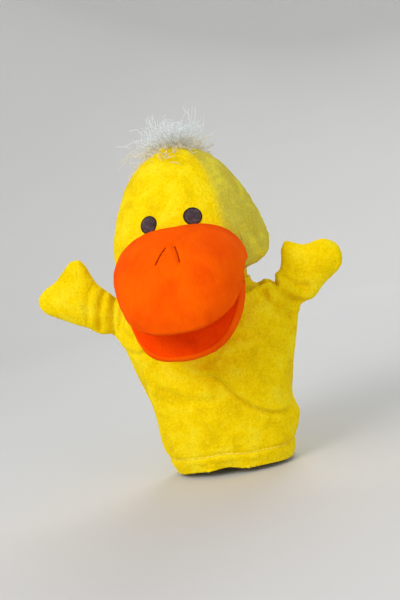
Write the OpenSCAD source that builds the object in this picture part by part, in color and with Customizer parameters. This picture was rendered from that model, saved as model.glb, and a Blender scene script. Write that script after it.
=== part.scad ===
// Moving mouth glove puppet in the shape of a duck, standing on a raised hand.
// The origin is the centre of the hand opening, in the plane of the hem. The face looks
// towards -Y, and +Z is up. All lengths are in millimetres and all angles in degrees.

/* [Sleeve] */
// Half width of the sleeve at the hem
hem_half_w = 43; // [38:0.5:50]
// Half depth of the sleeve at the hem
hem_half_d = 24; // [20:0.5:28]
// Half width of the sleeve at the waist
waist_half_w = 52.5; // [46:0.5:60]
// Half depth of the sleeve at the waist
waist_half_d = 27; // [24:0.5:29]
// Height of the waist above the hem
waist_z = 48; // [40:1:56]
// Half width of the sleeve at the chest
chest_half_w = 64.5; // [58:0.5:68]
// Half depth of the sleeve at the chest
chest_half_d = 28; // [25:0.5:29]
// Height of the chest above the hem
chest_z = 94; // [88:1:100]
// Thickness of the plush fabric with its pile
plush_t = 1.6; // [1:0.1:2]
// Height of the band of plush turned up inside the hem
hem_turn_h = 10.5; // [8:0.5:14]
// Thickness of the turned band
hem_turn_t = 1.2; // [0.8:0.1:1.6]
// Thickness of the hem thread
thread_d = 1; // [0.6:0.1:1.4]

/* [Neck] */
// Outer radius of the neck sleeve, a zone of a sphere
neck_r = 34; // [30:0.5:35]
// Thickness of the neck fabric
neck_t = 1.6; // [1:0.1:2]
// Height of the nodding centre above the hem
neck_z = 132; // [126:1:140]
// How far the nodding centre is in front of the hem's centre
neck_forward = 2; // [0:0.5:4]
// Latitude of the neck sleeve's upper and lower edges
neck_edge_deg = 35; // [30:1:40]
// Gap between the neck sleeve and the edges that turn on it
neck_gap = 0.5; // [0.4:0.1:1]
// Height of the sleeve's and head's edges from the nodding centre
neck_edge_h = 6.2; // [5.5:0.1:7]

/* [Head] */
// Half width of the head at its widest
head_half_w = 54; // [48:0.5:58]
// Half depth of the head at its widest
head_half_d = 47; // [45:0.5:50]
// Height of the crown above the nodding centre
head_h = 96; // [88:1:110]
// How far the head's middle is in front of the hem's centre
head_forward = 8; // [6:0.5:10]
// Thickness of the head's filling
head_fill_t = 6; // [4:0.5:8]
// Thickness of the lining of the head's pocket
lining_t = 1.2; // [0.8:0.1:1.6]
// Radius of the hole in the crown that the tuft is sewn into
crown_hole_r = 9; // [7:0.5:11]
// Radius of an embroidered eye
eye_r = 5.2; // [4:0.1:6]
// Thickness of the eye's stitching
eye_t = 1.2; // [0.8:0.1:1.6]
// Angle of each eye from the middle of the face
eye_deg = 17.5; // [16:0.5:22]
// Height of the eyes above the nodding centre
eye_h = 47; // [46:0.5:54]
// Height of the tuft base above the crown
tuft_base_h = 3; // [2:0.5:5]
// Radius of the tuft base
tuft_base_r = 7; // [5:0.5:8]
// Radius of a strand of the tuft at its root
strand_r = 0.8; // [0.5:0.1:1]
// Length of the tuft's longest strands
strand_l = 22; // [14:1:26]

/* [Bill] */
// How far the mouth hinge is in front of the hem's centre
hinge_forward = 45; // [43:0.5:48]
// Height of the mouth hinge above the nodding centre
hinge_h = 12; // [10:0.5:14]
// Half width of the bill
bill_half_w = 41; // [36:0.5:44]
// Length of the upper bill from the mouth hinge to the lip
bill_l = 62; // [56:0.5:68]
// Half width of the lower bill
jaw_half_w = 39; // [34:0.5:40]
// Length of the lower bill from the mouth hinge to the lip
jaw_l = 55; // [54:0.5:60]
// How far the upper bill's roof slopes down at rest
palate_deg = 31; // [26:1:33]
// How far the mouth is open at rest
mouth_deg = 30; // [20:1:31]
// How high the bill's seam climbs the face above its corners
bill_rise = 30; // [26:0.5:33]
// Angle of the bill's corners from the middle of the face
bill_corner_deg = 50; // [46:1:52]
// Roundness of the upper bill, as the height of its fullest part above the roof
bill_puff = 33; // [26:0.5:36]
// Depth of the lower bill at its fullest
jaw_depth = 18; // [17.5:0.5:19]
// Depth of the lower bill at the mouth hinge
jaw_root_depth = 6; // [4:0.5:8]
// Thickness of the velour of the bill
velour_t = 1.4; // [1:0.1:1.8]
// Thickness of the bill's filling
bill_fill_t = 4.5; // [3:0.5:6]
// Thickness of a stiffening board in the mouth
board_t = 1.8; // [1.2:0.1:2.4]
// Half gap between the two linings when the mouth is shut
mouth_gap = 0.8; // [0.4:0.1:1.2]
// Radius of the fold of lining along the hinge
fold_r = 2.2; // [1.6:0.1:2.8]
// Length of a stitched nostril
nostril_l = 13; // [9:0.5:16]

/* [Pockets] */
// Width of the finger pocket
finger_w = 58; // [48:1:62]
// Height of the finger pocket
finger_h = 14; // [11:0.5:15]
// Length of the finger pocket
finger_l = 36; // [28:1:38]
// Distance of the thumb pocket's mouth from the mouth hinge
thumb_start = 19.5; // [19:0.5:20]
// Width of the thumb pocket
thumb_w = 24; // [20:1:28]
// Height of the thumb pocket
thumb_h = 9; // [7:0.5:9]
// Length of the thumb pocket
thumb_l = 16; // [13:0.5:16]
// Thickness of the pocket fabric
pocket_t = 1; // [0.6:0.1:1.4]

/* [Wings] */
// Distance of a wing's flapping axis from the middle
wing_x = 74.5; // [72:0.5:80]
// Height of the flapping axes above the hem
wing_z = 122; // [118:1:124]
// Half thickness of a wing at its fullest
wing_half_t = 8; // [6:0.5:10]

/* [Hidden] */

$fn = 48;
yellow = [0.94, 0.80, 0.05];
orange = [1.0, 0.40, 0.02];
red_orange = [1.0, 0.27, 0.02];
lining_white = [0.92, 0.90, 0.84];
filling_white = [0.97, 0.97, 0.95];
board_grey = [0.70, 0.70, 0.68];
eye_brown = [0.25, 0.19, 0.20];
tuft_white = [0.85, 0.89, 0.92];

// A hair's breadth left between flat pieces that lie on each other, and the wider gap
// left between curved layers
slack = 0.05;
layer_gap = 0.4;
// Steps around half a body, and up it
half_steps = 20;
rows = 14;
// Squareness of the bill's outlines, and how far its sides stand out past its lip
bill_power = 2.5;
bill_bulge = 4;
// How far the bill leaves the face at its seam, most in the middle and least at the corners
bill_swell = 18;
bill_ease = 3;
// Share of the bill's length at which its front starts to turn down, and its least height
// there above the roof of the mouth
bill_snub = 0.82;
lip_puff = 4;
// Points inside the upper and lower bills, which their layers are drawn in towards
upper_heart = [0, 18, 14];
lower_heart = [0, 26, -4];
// How far along the lower bill its depth is greatest, as a rate, and how full its sides are
jaw_swell_rate = 0.8;
jaw_fullness = 0.7;

neck_y = -neck_forward;
edge_r = neck_r + neck_gap;
sleeve_top = neck_z - neck_edge_h;
head_bottom = neck_z + neck_edge_h;
head_y = -head_forward;
crown_z = neck_z + head_h;
hinge_y = -hinge_forward;
hinge_z = neck_z + hinge_h;
eye_z = neck_z + eye_h;

// The sleeve's half size that just clears the neck at height z
function round_neck(z) =
    sqrt(max(neck_r * neck_r - pow(neck_z - z, 2), 0)) + 2 * neck_gap + plush_t;

// Stations of the sleeve: height, half width, half depth and middle in Y
shoulder_drop = sleeve_top - chest_z;
yoke_z = chest_z + shoulder_drop * 0.58;
shoulder_z = chest_z + shoulder_drop * 0.86;
sleeve_stations = [
    [0, hem_half_w, hem_half_d, 0],
    [waist_z * 0.42, hem_half_w + (waist_half_w - hem_half_w) * 0.65, (hem_half_d + waist_half_d) / 2, 0],
    [waist_z, waist_half_w, waist_half_d, 0],
    [chest_z, chest_half_w, chest_half_d, neck_y / 2],
    [yoke_z, chest_half_w - 2, round_neck(yoke_z) + neck_gap, neck_y],
    [shoulder_z, chest_half_w - 9, round_neck(shoulder_z) + neck_gap, neck_y],
    [sleeve_top, edge_r + plush_t, edge_r + plush_t, neck_y]];

// Stations of the head: height as a share of its own, widths as shares of the widest, and
// how much of the way forward its middle has come
head_shares = [
    [0.030, 0.82, 0.90, 0.5], [0.085, 0.945, 0.96, 0.8], [0.18, 1, 1, 1], [0.34, 0.96, 0.985, 1],
    [0.52, 0.865, 0.92, 0.9], [0.69, 0.73, 0.79, 0.75], [0.83, 0.58, 0.64, 0.6],
    [0.925, 0.40, 0.45, 0.55], [0.975, 0.235, 0.27, 0.5]];
function head_station(s) = [
    head_bottom + s[0] * (crown_z - head_bottom), s[1] * head_half_w, s[2] * head_half_d,
    neck_y + s[3] * (head_y - neck_y)];
crown_y = neck_y + 0.5 * (head_y - neck_y);
head_stations = concat(
    [[head_bottom, edge_r + plush_t, edge_r + plush_t, neck_y]],
    [for (s = head_shares) head_station(s)],
    [[crown_z, crown_hole_r, crown_hole_r, crown_y]]);

// Wing outlines from the flapping axis: outwards and up
left_wing_outline = [
    [-12.2, 0], [-8.5, -9], [4, -18], [11, -11], [22, -5], [34, 2], [43, 7], [47, 16], [41, 24],
    [31, 29], [25, 35], [18, 42], [11, 43], [6, 38], [3, 28], [-3, 20], [-9, 9]];
right_wing_outline = [
    [-12.2, 0], [-8.5, -9], [4, -18], [10, -10], [18, -4], [25, 1.5], [29, 10], [27, 19],
    [18, 25], [9, 24], [3, 26], [-2, 31], [-7, 30], [-9.5, 22], [-10, 10]];
left_wing_middle = [14, 12];
right_wing_middle = [8, 5];

// ---------------------------------------------------------------- curves and surfaces

function sign_of(v) = v < 0 ? -1 : 1;
function mix(a, b, t) = a + (b - a) * t;
function unit(v) = v / norm(v);
function reversed(list) = [for (i = [len(list) - 1 : -1 : 0]) list[i]];

// A point of an oval, a little squarer than an ellipse when its power is over 2
function oval(half_w, half_d, a, power = 2) =
    [half_w * sign_of(cos(a)) * pow(abs(cos(a)), 2 / power),
     half_d * sign_of(sin(a)) * pow(abs(sin(a)), 2 / power)];

// A smooth curve through p1 and p2, with p0 and p3 on each side
function between(p0, p1, p2, p3, t) =
    0.5 * (2 * p1 + (p2 - p0) * t + (2 * p0 - 5 * p1 + 4 * p2 - p3) * t * t
           + (3 * p1 - p0 - 3 * p2 + p3) * t * t * t);

// The station at share t of the list, smoothly in between
function station(list, t) =
    let (last = len(list) - 1, x = t * last, i = min(floor(x), last - 1))
    between(list[max(i - 1, 0)], list[i], list[i + 1], list[min(i + 2, last)], x - i);

// The station at height z, found by halving
function station_at(list, z, lo = 0, hi = 1, n = 16) =
    n == 0 ? station(list, (lo + hi) / 2)
    : station(list, (lo + hi) / 2)[0] < z ? station_at(list, z, (lo + hi) / 2, hi, n - 1)
    : station_at(list, z, lo, (lo + hi) / 2, n - 1);

// A closed smooth outline through the points, with n steps from each to the next
function closed_curve(p, n) =
    let (c = len(p))
    [for (i = [0 : c - 1], k = [0 : n - 1])
        between(p[(i + c - 1) % c], p[i], p[(i + 1) % c], p[(i + 2) % c], k / n)];

// A ring of a station, drawn in by d, from angle a0 to a1
function station_ring(s, d, a0, a1, n, power) =
    [for (i = [0 : n])
        let (q = oval(s[1] - d, s[2] - d, mix(a0, a1, i / n), power)) [q[0], s[3] + q[1], s[0]]];

// Points moved towards c by d
function drawn_in(grid, c, d) =
    [for (row = grid) [for (p = row) p + unit(c - p) * d]];

// ---------------------------------------------------------------- solids from rings

// A closed solid over rings of points. When joined, the last ring meets the first;
// otherwise the first and last rings are closed across.
module skin(rings, joined = false) {
    n = len(rings[0]);
    last = len(rings) - 1;
    sides = [for (r = [0 : joined ? last : last - 1], i = [0 : n - 1])
        let (a = r * n + i, b = r * n + (i + 1) % n, up = r == last ? -last * n : n)
        each [[a, b + up, b], [a, a + up, b + up]]];
    ends = joined ? [] : [for (e = [0, last], i = [0 : n / 2 - 2])
        let (p = e * n + i, q = p + 1, s = e * n + n - 1 - i, t = s - 1)
        each e == 0 ? [[p, t, s], [p, q, t]] : [[p, t, q], [p, s, t]]];
    polyhedron(points = [for (ring = rings) each ring], faces = concat(sides, ends));
}

// A panel of fabric between an outer and an inner grid
module panel(outer, inner) {
    skin([for (r = [0 : len(outer) - 1]) concat(outer[r], reversed(inner[r]))]);
}

// ---------------------------------------------------------------- sleeve

sleeve_power = 2.2;
function sleeve_power_at(z) = mix(sleeve_power, 2, z / sleeve_top);

function sleeve_grid(d, a0, a1) =
    [for (r = [0 : rows])
        let (s = station(sleeve_stations, r / rows))
        station_ring(s, d, a0, a1, half_steps, sleeve_power_at(s[0]))];

module body_front_panel() {
    color(yellow) panel(sleeve_grid(0, 180, 360), sleeve_grid(plush_t, 180, 360));
}

module body_back_panel() {
    color(yellow) panel(sleeve_grid(0, 0, 180), sleeve_grid(plush_t, 0, 180));
}

function sleeve_ring(z, d) =
    station_ring(station_at(sleeve_stations, z), d, 0, 360 - 180 / half_steps,
                 2 * half_steps - 1, sleeve_power_at(z));

module hem_band() {
    near = plush_t + 3 * slack;
    far = near + hem_turn_t;
    color(yellow)
        skin([sleeve_ring(0, near), sleeve_ring(hem_turn_h / 2, near), sleeve_ring(hem_turn_h, near),
              sleeve_ring(hem_turn_h, far), sleeve_ring(hem_turn_h / 2, far), sleeve_ring(0, far)],
             joined = true);
}

module hem_stitching() {
    sides = 6;
    color(yellow)
        skin([for (k = [0 : sides - 1])
            sleeve_ring(hem_turn_h + thread_d / 2 * cos(k * 360 / sides),
                        thread_d / 2 * sin(k * 360 / sides) - thread_d / 2 - 3 * slack)],
             joined = true);
}

// ---------------------------------------------------------------- neck

module neck_sleeve() {
    edge_h = neck_r * sin(neck_edge_deg);
    color(yellow) translate([0, neck_y, neck_z])
        intersection() {
            difference() {
                sphere(r = neck_r);
                sphere(r = neck_r - neck_t);
            }
            cube([2 * neck_r + 2, 2 * neck_r + 2, 2 * edge_h], center = true);
        }
}

// ---------------------------------------------------------------- head

// The bill's corners are just above the mouth hinge
corner_z = hinge_z + 1;

// The head's lower edge at angle a: it climbs over the bill in front
function head_edge(a) =
    let (off = abs(a - 270) / bill_corner_deg)
    off < 1 ? corner_z + bill_rise * pow(1 - pow(off, bill_power), 1 / bill_power) : head_bottom;

function head_point(a, z, d) =
    let (s = station_at(head_stations, z), q = oval(s[1] - d, s[2] - d, a))
    [q[0], s[3] + q[1], z];

// A row of the head at share v of the way from its lower edge to its crown. Rows crowd
// towards the crown, where the surface turns flat.
function head_row(v, d, bottom, a0, a1, n, top) =
    [for (i = [0 : n])
        let (a = mix(a0, a1, i / n), low = max(head_edge(a), bottom))
        head_point(a, mix(low, top, sin(90 * v)), d)];

function head_grid(d, bottom, a0, a1, n) =
    [for (r = [0 : rows]) head_row(r / rows, d, bottom, a0, a1, n, crown_z)];

module face_panel() {
    color(yellow)
        panel(head_grid(0, head_bottom, 180, 360, 2 * half_steps),
              head_grid(plush_t, head_bottom, 180, 360, 2 * half_steps));
}

module head_back_panel() {
    color(yellow)
        panel(head_grid(0, head_bottom, 0, 180, half_steps),
              head_grid(plush_t, head_bottom, 0, 180, half_steps));
}

// The filling and the lining start above the neck, which turns inside the cover
inner_bottom = neck_z + neck_r * sin(neck_edge_deg) + 8;
inner_top = crown_z - plush_t - 6;
inner_steps = 2 * half_steps;

// A layer inside the head's cover, between two depths under its surface
module head_layer(near, far) {
    step = 360 / inner_steps;
    outer = [for (r = [0 : rows - 3])
        head_row(r / (rows - 3), near, inner_bottom, 90, 450 - step, inner_steps - 1, inner_top)];
    inner = [for (r = [0 : rows - 3])
        head_row(r / (rows - 3), far, inner_bottom, 90, 450 - step, inner_steps - 1, inner_top)];
    skin(concat(outer, reversed(inner)), joined = true);
}

module head_stuffing() {
    color(filling_white) head_layer(plush_t + layer_gap, plush_t + layer_gap + head_fill_t);
}

module head_lining() {
    near = plush_t + head_fill_t + 2 * layer_gap;
    color(lining_white) head_layer(near, near + lining_t);
}

function head_normal(a, z) =
    let (p = head_point(a, z, 0))
    unit(cross(head_point(a + 2, z, 0) - p, head_point(a, z + 1, 0) - p));

// A round patch of embroidery lying on the face
module eye(side) {
    a = 270 + side * eye_deg;
    n = head_normal(a, eye_z);
    color(eye_brown)
        translate(head_point(a, eye_z, 0) + n * 2 * slack)
            rotate([0, acos(n[2]), atan2(n[1], n[0])])
                cylinder(r = eye_r, h = eye_t);
}

module eye_left() {
    eye(-1);
}

module eye_right() {
    eye(1);
}

module tuft_base() {
    color(lining_white)
        translate([0, crown_y, crown_z - 3])
            cylinder(r = tuft_base_r, h = tuft_base_h + 3);
}

// Strands stand in two rings on the base and lean outwards
module tuft_fibres() {
    color(tuft_white)
        translate([0, crown_y, crown_z + tuft_base_h])
            for (ring = [1, 2], i = [0 : 5 * ring - 1])
                rotate([0, 0, i * 72 / ring + 20 * ring])
                    translate([tuft_base_r * 0.38 * ring, 0, strand_r])
                        rotate([0, 14 + 12 * ring, 0])
                            cylinder(r1 = strand_r, r2 = strand_r / 4, h = strand_l - 3 * (i % 3));
}

// ---------------------------------------------------------------- bill

// The mouth's frame: sideways, forwards from the hinge along a plane that slopes down by
// deg, and up from that plane
function mouth_point(p, deg) =
    [p[0],
     hinge_y - p[1] * cos(deg) - p[2] * sin(deg),
     hinge_z - p[1] * sin(deg) + p[2] * cos(deg)];

module in_mouth(deg) {
    translate([0, hinge_y, hinge_z]) rotate([deg, 0, 0]) rotate([0, 0, 180]) children();
}

corner_step = 5;
bill_steps = 24;
bill_rows = 10;

// A lip's outline in the plane of the mouth, from the right corner round to the left
function lip_outline(half_w, l, a, d) = oval(half_w - d, l - d, a, bill_power);

// From the seam on the face, over the top and round the lip to the roof of the mouth
function upper_bill_point(a, t) =
    let (s = oval(bill_corner_deg, bill_rise, a, bill_power),
         seam = head_point(270 + s[0], corner_z + s[1], 0),
         rim = lip_outline(bill_half_w, bill_l, a, 0),
         out = lip_outline(bill_half_w, bill_l, a, -bill_bulge),
         p1 = seam + [bill_bulge * cos(a), -bill_swell * sin(a) - bill_ease, 0],
         p2 = mouth_point([out[0], out[1] * bill_snub, bill_puff * s[1] / bill_rise + lip_puff],
                          palate_deg),
         p3 = mouth_point([rim[0], rim[1], mouth_gap], palate_deg),
         u = 1 - t)
    u * u * u * seam + 3 * u * u * t * p1 + 3 * u * t * t * p2 + t * t * t * p3;

function upper_bill_grid() =
    [for (r = [0 : bill_rows])
        [for (i = [0 : bill_steps])
            upper_bill_point(mix(180 - corner_step, corner_step, i / bill_steps), r / bill_rows)]];

upper_middle = mouth_point(upper_heart, palate_deg);

module upper_bill_cover() {
    grid = drawn_in(upper_bill_grid(), upper_middle, 2 * slack);
    color(orange) panel(grid, drawn_in(grid, upper_middle, velour_t));
}

module upper_bill_stuffing() {
    grid = drawn_in(upper_bill_grid(), upper_middle, 2 * slack + velour_t + layer_gap);
    color(filling_white) panel(grid, drawn_in(grid, upper_middle, bill_fill_t));
}

// A flat piece in the shape of the mouth, from lo to hi above its plane
module mouth_plate(deg, half_w, l, lo, hi, inset) {
    start = fold_r + 1;
    outline = [for (i = [0 : bill_steps])
        lip_outline(half_w, l, mix(corner_step, 180 - corner_step, i / bill_steps), inset)];
    in_mouth(deg)
        translate([0, 0, lo])
            linear_extrude(height = hi - lo)
                polygon(concat([[half_w - inset - 1, start]],
                               [for (p = outline) if (p[1] > start + 1) p],
                               [[-(half_w - inset - 1), start]]));
}

lining_top = mouth_gap + lining_t;
board_top = lining_top + board_t;
board_inset = velour_t + bill_fill_t + 4;

module palate_lining() {
    color(red_orange)
        mouth_plate(palate_deg, bill_half_w, bill_l, mouth_gap, lining_top, board_inset - 2);
}

module upper_mouth_board() {
    color(board_grey)
        mouth_plate(palate_deg, bill_half_w, bill_l, lining_top, board_top, board_inset);
}

// A flat tube with round sides, shut at its far end
module pocket(w, h, l, t) {
    difference() {
        pocket_body(w, h, l, 0);
        translate([0, 0, -t]) pocket_body(w, h, l, t);
    }
}

module pocket_body(w, h, l, t) {
    linear_extrude(height = l) {
        square([w - h, h - 2 * t], center = true);
        for (side = [-1, 1])
            translate([side * (w - h) / 2, 0]) circle(r = h / 2 - t);
    }
}

module finger_pocket() {
    color(lining_white)
        in_mouth(palate_deg)
            translate([0, -2, board_top + slack + finger_h / 2])
                rotate([-90, 0, 0])
                    pocket(finger_w, finger_h, finger_l, pocket_t);
}

// A straight bar of thread from p to q
module bar(p, q, r) {
    d = q - p;
    translate(p) rotate([0, acos(d[2] / norm(d)), atan2(d[1], d[0])]) cylinder(r = r, h = norm(d));
}

module nostril_stitches() {
    lift = 1.6;
    for (side = [-1, 1]) {
        top = upper_bill_point(90 - side * 4, 0.36);
        low = upper_bill_point(90 - side * 10, 0.5);
        out = unit((top + low) / 2 - upper_middle) * lift;
        color(red_orange) bar(top + out, top + out + unit(low - top) * nostril_l, thread_d / 2);
    }
}

module mouth_hinge_fold() {
    half = bill_half_w - board_inset;
    color(red_orange)
        translate([-half, hinge_y, hinge_z])
            rotate([0, 90, 0])
                cylinder(r = fold_r, h = 2 * half);
}

// ---------------------------------------------------------------- lower bill

jaw_deg = palate_deg + mouth_deg;

// From the hinge along the underside, and up round the lip to the floor of the mouth
function lower_bill_point(a, t) =
    let (rim = lip_outline(jaw_half_w, jaw_l, a, 0),
         root = [jaw_half_w * cos(a), 0],
         g = sin(90 * t),
         q = mix(root, rim, g),
         ahead = q[1] / jaw_l,
         depth = mix(jaw_root_depth, jaw_depth, sin(180 * min(ahead * jaw_swell_rate, 1))))
    mouth_point([q[0], q[1] + fold_r + 1, -mouth_gap - depth * pow(cos(90 * t), jaw_fullness)],
                jaw_deg);

function lower_bill_grid() =
    [for (r = [0 : bill_rows])
        [for (i = [0 : bill_steps])
            lower_bill_point(mix(corner_step * 2, 180 - corner_step * 2, i / bill_steps),
                             r / bill_rows)]];

lower_middle = mouth_point(lower_heart, jaw_deg);

module lower_bill_cover() {
    grid = lower_bill_grid();
    color(orange) panel(grid, drawn_in(grid, lower_middle, velour_t));
}

// The filling is a roll along the lip
module lower_bill_stuffing() {
    grid = [for (r = [5 : bill_rows]) lower_bill_grid()[r]];
    near = drawn_in(grid, lower_middle, velour_t + layer_gap);
    color(filling_white) panel(near, drawn_in(near, lower_middle, bill_fill_t));
}

module lower_mouth_lining() {
    color(red_orange)
        mouth_plate(jaw_deg, jaw_half_w, jaw_l, -lining_top, -mouth_gap, board_inset - 2);
}

module lower_mouth_board() {
    color(board_grey)
        mouth_plate(jaw_deg, jaw_half_w, jaw_l, -board_top, -lining_top, board_inset);
}

module thumb_pocket() {
    color(lining_white)
        in_mouth(jaw_deg)
            translate([0, thumb_start, -board_top - slack - thumb_h / 2])
                rotate([-90, 0, 0])
                    pocket(thumb_w, thumb_h, thumb_l, pocket_t);
}

// ---------------------------------------------------------------- wings

wing_rows = 6;
wing_steps = 2;

// A ring of a pillow over the outline: share s of the way out, drawn in by d, on the
// front (-1) or back (1)
function wing_ring(outline, middle, s, d, face, side) =
    let (puff = (wing_half_t - d) * sqrt(1 - s * s))
    [for (p = closed_curve(outline, wing_steps))
        let (q = middle + (p - middle) * s * (1 - d / norm(p - middle)))
        [side * (wing_x + q[0]), neck_y + face * puff, wing_z + q[1]]];

function wing_shares(face) = [for (r = [0 : wing_rows]) cos(90 * r / wing_rows) * 0.98 + 0.02];

module wing_cover(outline, middle, face, side) {
    shares = wing_shares(face);
    outer = [for (s = reversed(shares)) wing_ring(outline, middle, min(s, 1), 0, face, side)];
    inner = [for (s = shares) wing_ring(outline, middle, min(s, 1), plush_t, face, side)];
    color(yellow) skin(concat(outer, inner));
}

module wing_stuffing(outline, middle, side) {
    shares = wing_shares(1);
    under = plush_t + slack;
    front = [for (s = reversed(shares)) wing_ring(outline, middle, min(s, 1), under, -1, side)];
    back = [for (r = [1 : wing_rows]) wing_ring(outline, middle, shares[r], under, 1, side)];
    color(filling_white) skin(concat(front, back));
}

module left_wing_front() {
    wing_cover(left_wing_outline, left_wing_middle, -1, -1);
}

module left_wing_back() {
    wing_cover(left_wing_outline, left_wing_middle, 1, -1);
}

module left_wing_stuffing() {
    wing_stuffing(left_wing_outline, left_wing_middle, -1);
}

module right_wing_front() {
    wing_cover(right_wing_outline, right_wing_middle, -1, 1);
}

module right_wing_back() {
    wing_cover(right_wing_outline, right_wing_middle, 1, 1);
}

module right_wing_stuffing() {
    wing_stuffing(right_wing_outline, right_wing_middle, 1);
}

body_front_panel();
body_back_panel();
hem_band();
hem_stitching();
neck_sleeve();
face_panel();
head_back_panel();
head_stuffing();
head_lining();
eye_left();
eye_right();
tuft_base();
tuft_fibres();
upper_bill_cover();
upper_bill_stuffing();
palate_lining();
upper_mouth_board();
finger_pocket();
nostril_stitches();
mouth_hinge_fold();
lower_bill_cover();
lower_bill_stuffing();
lower_mouth_lining();
lower_mouth_board();
thumb_pocket();
left_wing_front();
left_wing_back();
left_wing_stuffing();
right_wing_front();
right_wing_back();
right_wing_stuffing();
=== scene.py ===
"""Looks of a plush duck glove puppet with a moving mouth.

Sizes in the classes are millimetres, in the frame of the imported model: the origin is the
centre of the hand opening, the face looks towards -Y and +Z is up. They become metres when a
mesh is made.
"""

import logging
import math
from dataclasses import dataclass
from enum import Enum

import bmesh
import bpy
import numpy as np
from mathutils import Matrix, Vector


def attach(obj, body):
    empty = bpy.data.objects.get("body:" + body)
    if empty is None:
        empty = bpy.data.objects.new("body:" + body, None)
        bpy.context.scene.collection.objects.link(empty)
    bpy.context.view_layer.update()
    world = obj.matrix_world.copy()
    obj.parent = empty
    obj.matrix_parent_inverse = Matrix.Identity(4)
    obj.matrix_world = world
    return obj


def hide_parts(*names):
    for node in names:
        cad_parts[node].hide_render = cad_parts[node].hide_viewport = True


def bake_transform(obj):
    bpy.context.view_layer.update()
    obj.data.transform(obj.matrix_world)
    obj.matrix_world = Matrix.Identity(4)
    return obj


MM = 0.001
LOG = logging.getLogger("duck_puppet")
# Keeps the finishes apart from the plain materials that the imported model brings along
FINISH_END = "_finish"


# ---------------------------------------------------------------- curves and shares


def smooth_step(value: np.ndarray, low: float, high: float) -> np.ndarray:
    """A share that rises smoothly from 0 at low to 1 at high.

    Args:
        value: Any numbers.
        low: Where the share is 0.
        high: Where the share is 1.

    Returns:
        The share at each number.
    """
    t = np.clip((np.asarray(value, float) - low) / (high - low), 0, 1)
    return t * t * (3 - 2 * t)


def mound(distance: np.ndarray, width: float) -> np.ndarray:
    """A smooth mound, 1 in the middle, that has mostly died out at its width.

    Args:
        distance: Distances from the middle.
        width: The width.

    Returns:
        The height at each distance.
    """
    return np.exp(-((distance / width) ** 2))


def oval(half_w: np.ndarray, half_d: np.ndarray, a: np.ndarray, power: float = 2.0) -> tuple:
    """Points of an oval, a little squarer than an ellipse when its power is over 2.

    Args:
        half_w: Half width.
        half_d: Half depth.
        a: Angles in degrees.
        power: 2 for an ellipse.

    Returns:
        The two coordinates.
    """
    c, s = np.cos(np.radians(a)), np.sin(np.radians(a))
    return (half_w * np.sign(c) * np.abs(c) ** (2 / power),
            half_d * np.sign(s) * np.abs(s) ** (2 / power))


def through(points: list, steps: int, closed: bool = False) -> np.ndarray:
    """A smooth curve through points.

    Args:
        points: Rows of numbers of any length.
        steps: Steps from each point to the next.
        closed: Whether the last point leads back to the first.

    Returns:
        The rows along the curve.
    """
    p = np.asarray(points, float)
    count = len(p)
    around = (lambda i: i % count) if closed else (lambda i: min(max(i, 0), count - 1))
    rows = []
    for i in range(count if closed else count - 1):
        p0, p1, p2, p3 = (p[around(i + k)] for k in (-1, 0, 1, 2))
        for t in np.arange(steps) / steps:
            rows.append(0.5 * (2 * p1 + (p2 - p0) * t + (2 * p0 - 5 * p1 + 4 * p2 - p3) * t * t
                               + (3 * p1 - p0 - 3 * p2 + p3) * t ** 3))
    if not closed:
        rows.append(p[-1])
    return np.array(rows)


def from_line(flat: np.ndarray, line: np.ndarray) -> tuple:
    """How far points lie from a line of straight pieces, and on which side.

    Args:
        flat: Points, two numbers each.
        line: The line's points, two numbers each.

    Returns:
        The distance, the side as -1 or 1, and the share of the way along the line.
    """
    best = np.full(len(flat), 1e9)
    side = np.ones(len(flat))
    along = np.zeros(len(flat))
    for i in range(len(line) - 1):
        a, d = line[i], line[i + 1] - line[i]
        t = np.clip(((flat - a) @ d) / (d @ d), 0, 1)
        off = flat - a - t[:, None] * d
        distance = np.linalg.norm(off, axis=1)
        nearer = distance < best
        best[nearer] = distance[nearer]
        side[nearer] = np.sign(d[0] * off[nearer, 1] - d[1] * off[nearer, 0])
        along[nearer] = (i + t[nearer]) / (len(line) - 1)
    return best, side, along


# ---------------------------------------------------------------- meshes


def new_piece(name: str, points: np.ndarray, faces: list,
              edges: list | None = None) -> bpy.types.Object:
    """Makes a mesh object from points in millimetres.

    Args:
        name: The object's name.
        points: Points, three numbers each.
        faces: Lists of point numbers.
        edges: Pairs of point numbers, for a mesh of lines.

    Returns:
        The object, linked to the scene.
    """
    mesh = bpy.data.meshes.new(name)
    mesh.from_pydata((np.asarray(points, float).reshape(-1, 3) * MM).tolist(), edges or [], faces)
    mesh.update()
    mesh.shade_smooth()
    piece = bpy.data.objects.new(name, mesh)
    bpy.context.scene.collection.objects.link(piece)
    return piece


def grid_faces(rows: int, cols: int, wrap: bool = False) -> list:
    """Quads between the points of a grid, stored row by row.

    Args:
        rows: Number of rows.
        cols: Number of columns.
        wrap: Whether each row closes on itself.

    Returns:
        The quads, as tuples of indices.
    """
    r = np.arange(rows - 1)[:, None]
    c = np.arange(cols if wrap else cols - 1)[None, :]
    a, b = r * cols + c, r * cols + (c + 1) % cols
    return np.stack([a, b, b + cols, a + cols], -1).reshape(-1, 4).tolist()


def sheet_piece(name: str, grid: np.ndarray, wrap: bool = False) -> bpy.types.Object:
    """A sheet over a grid of points with rows, columns and three numbers.

    Args:
        name: Its name.
        grid: The points, row by row.
        wrap: Whether each row closes on itself.

    Returns:
        The piece.
    """
    return new_piece(name, grid, grid_faces(grid.shape[0], grid.shape[1], wrap))


def closed_piece(name: str, grid: np.ndarray) -> bpy.types.Object:
    """A closed solid over rings of points, with its first and last rings filled in.

    Args:
        name: Its name.
        grid: The points, row by row.

    Returns:
        The piece.
    """
    rows, cols = grid.shape[:2]
    faces = grid_faces(rows, cols, True)
    faces.append(list(range(cols))[::-1])
    faces.append([(rows - 1) * cols + i for i in range(cols)])
    return new_piece(name, grid, faces)


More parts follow.
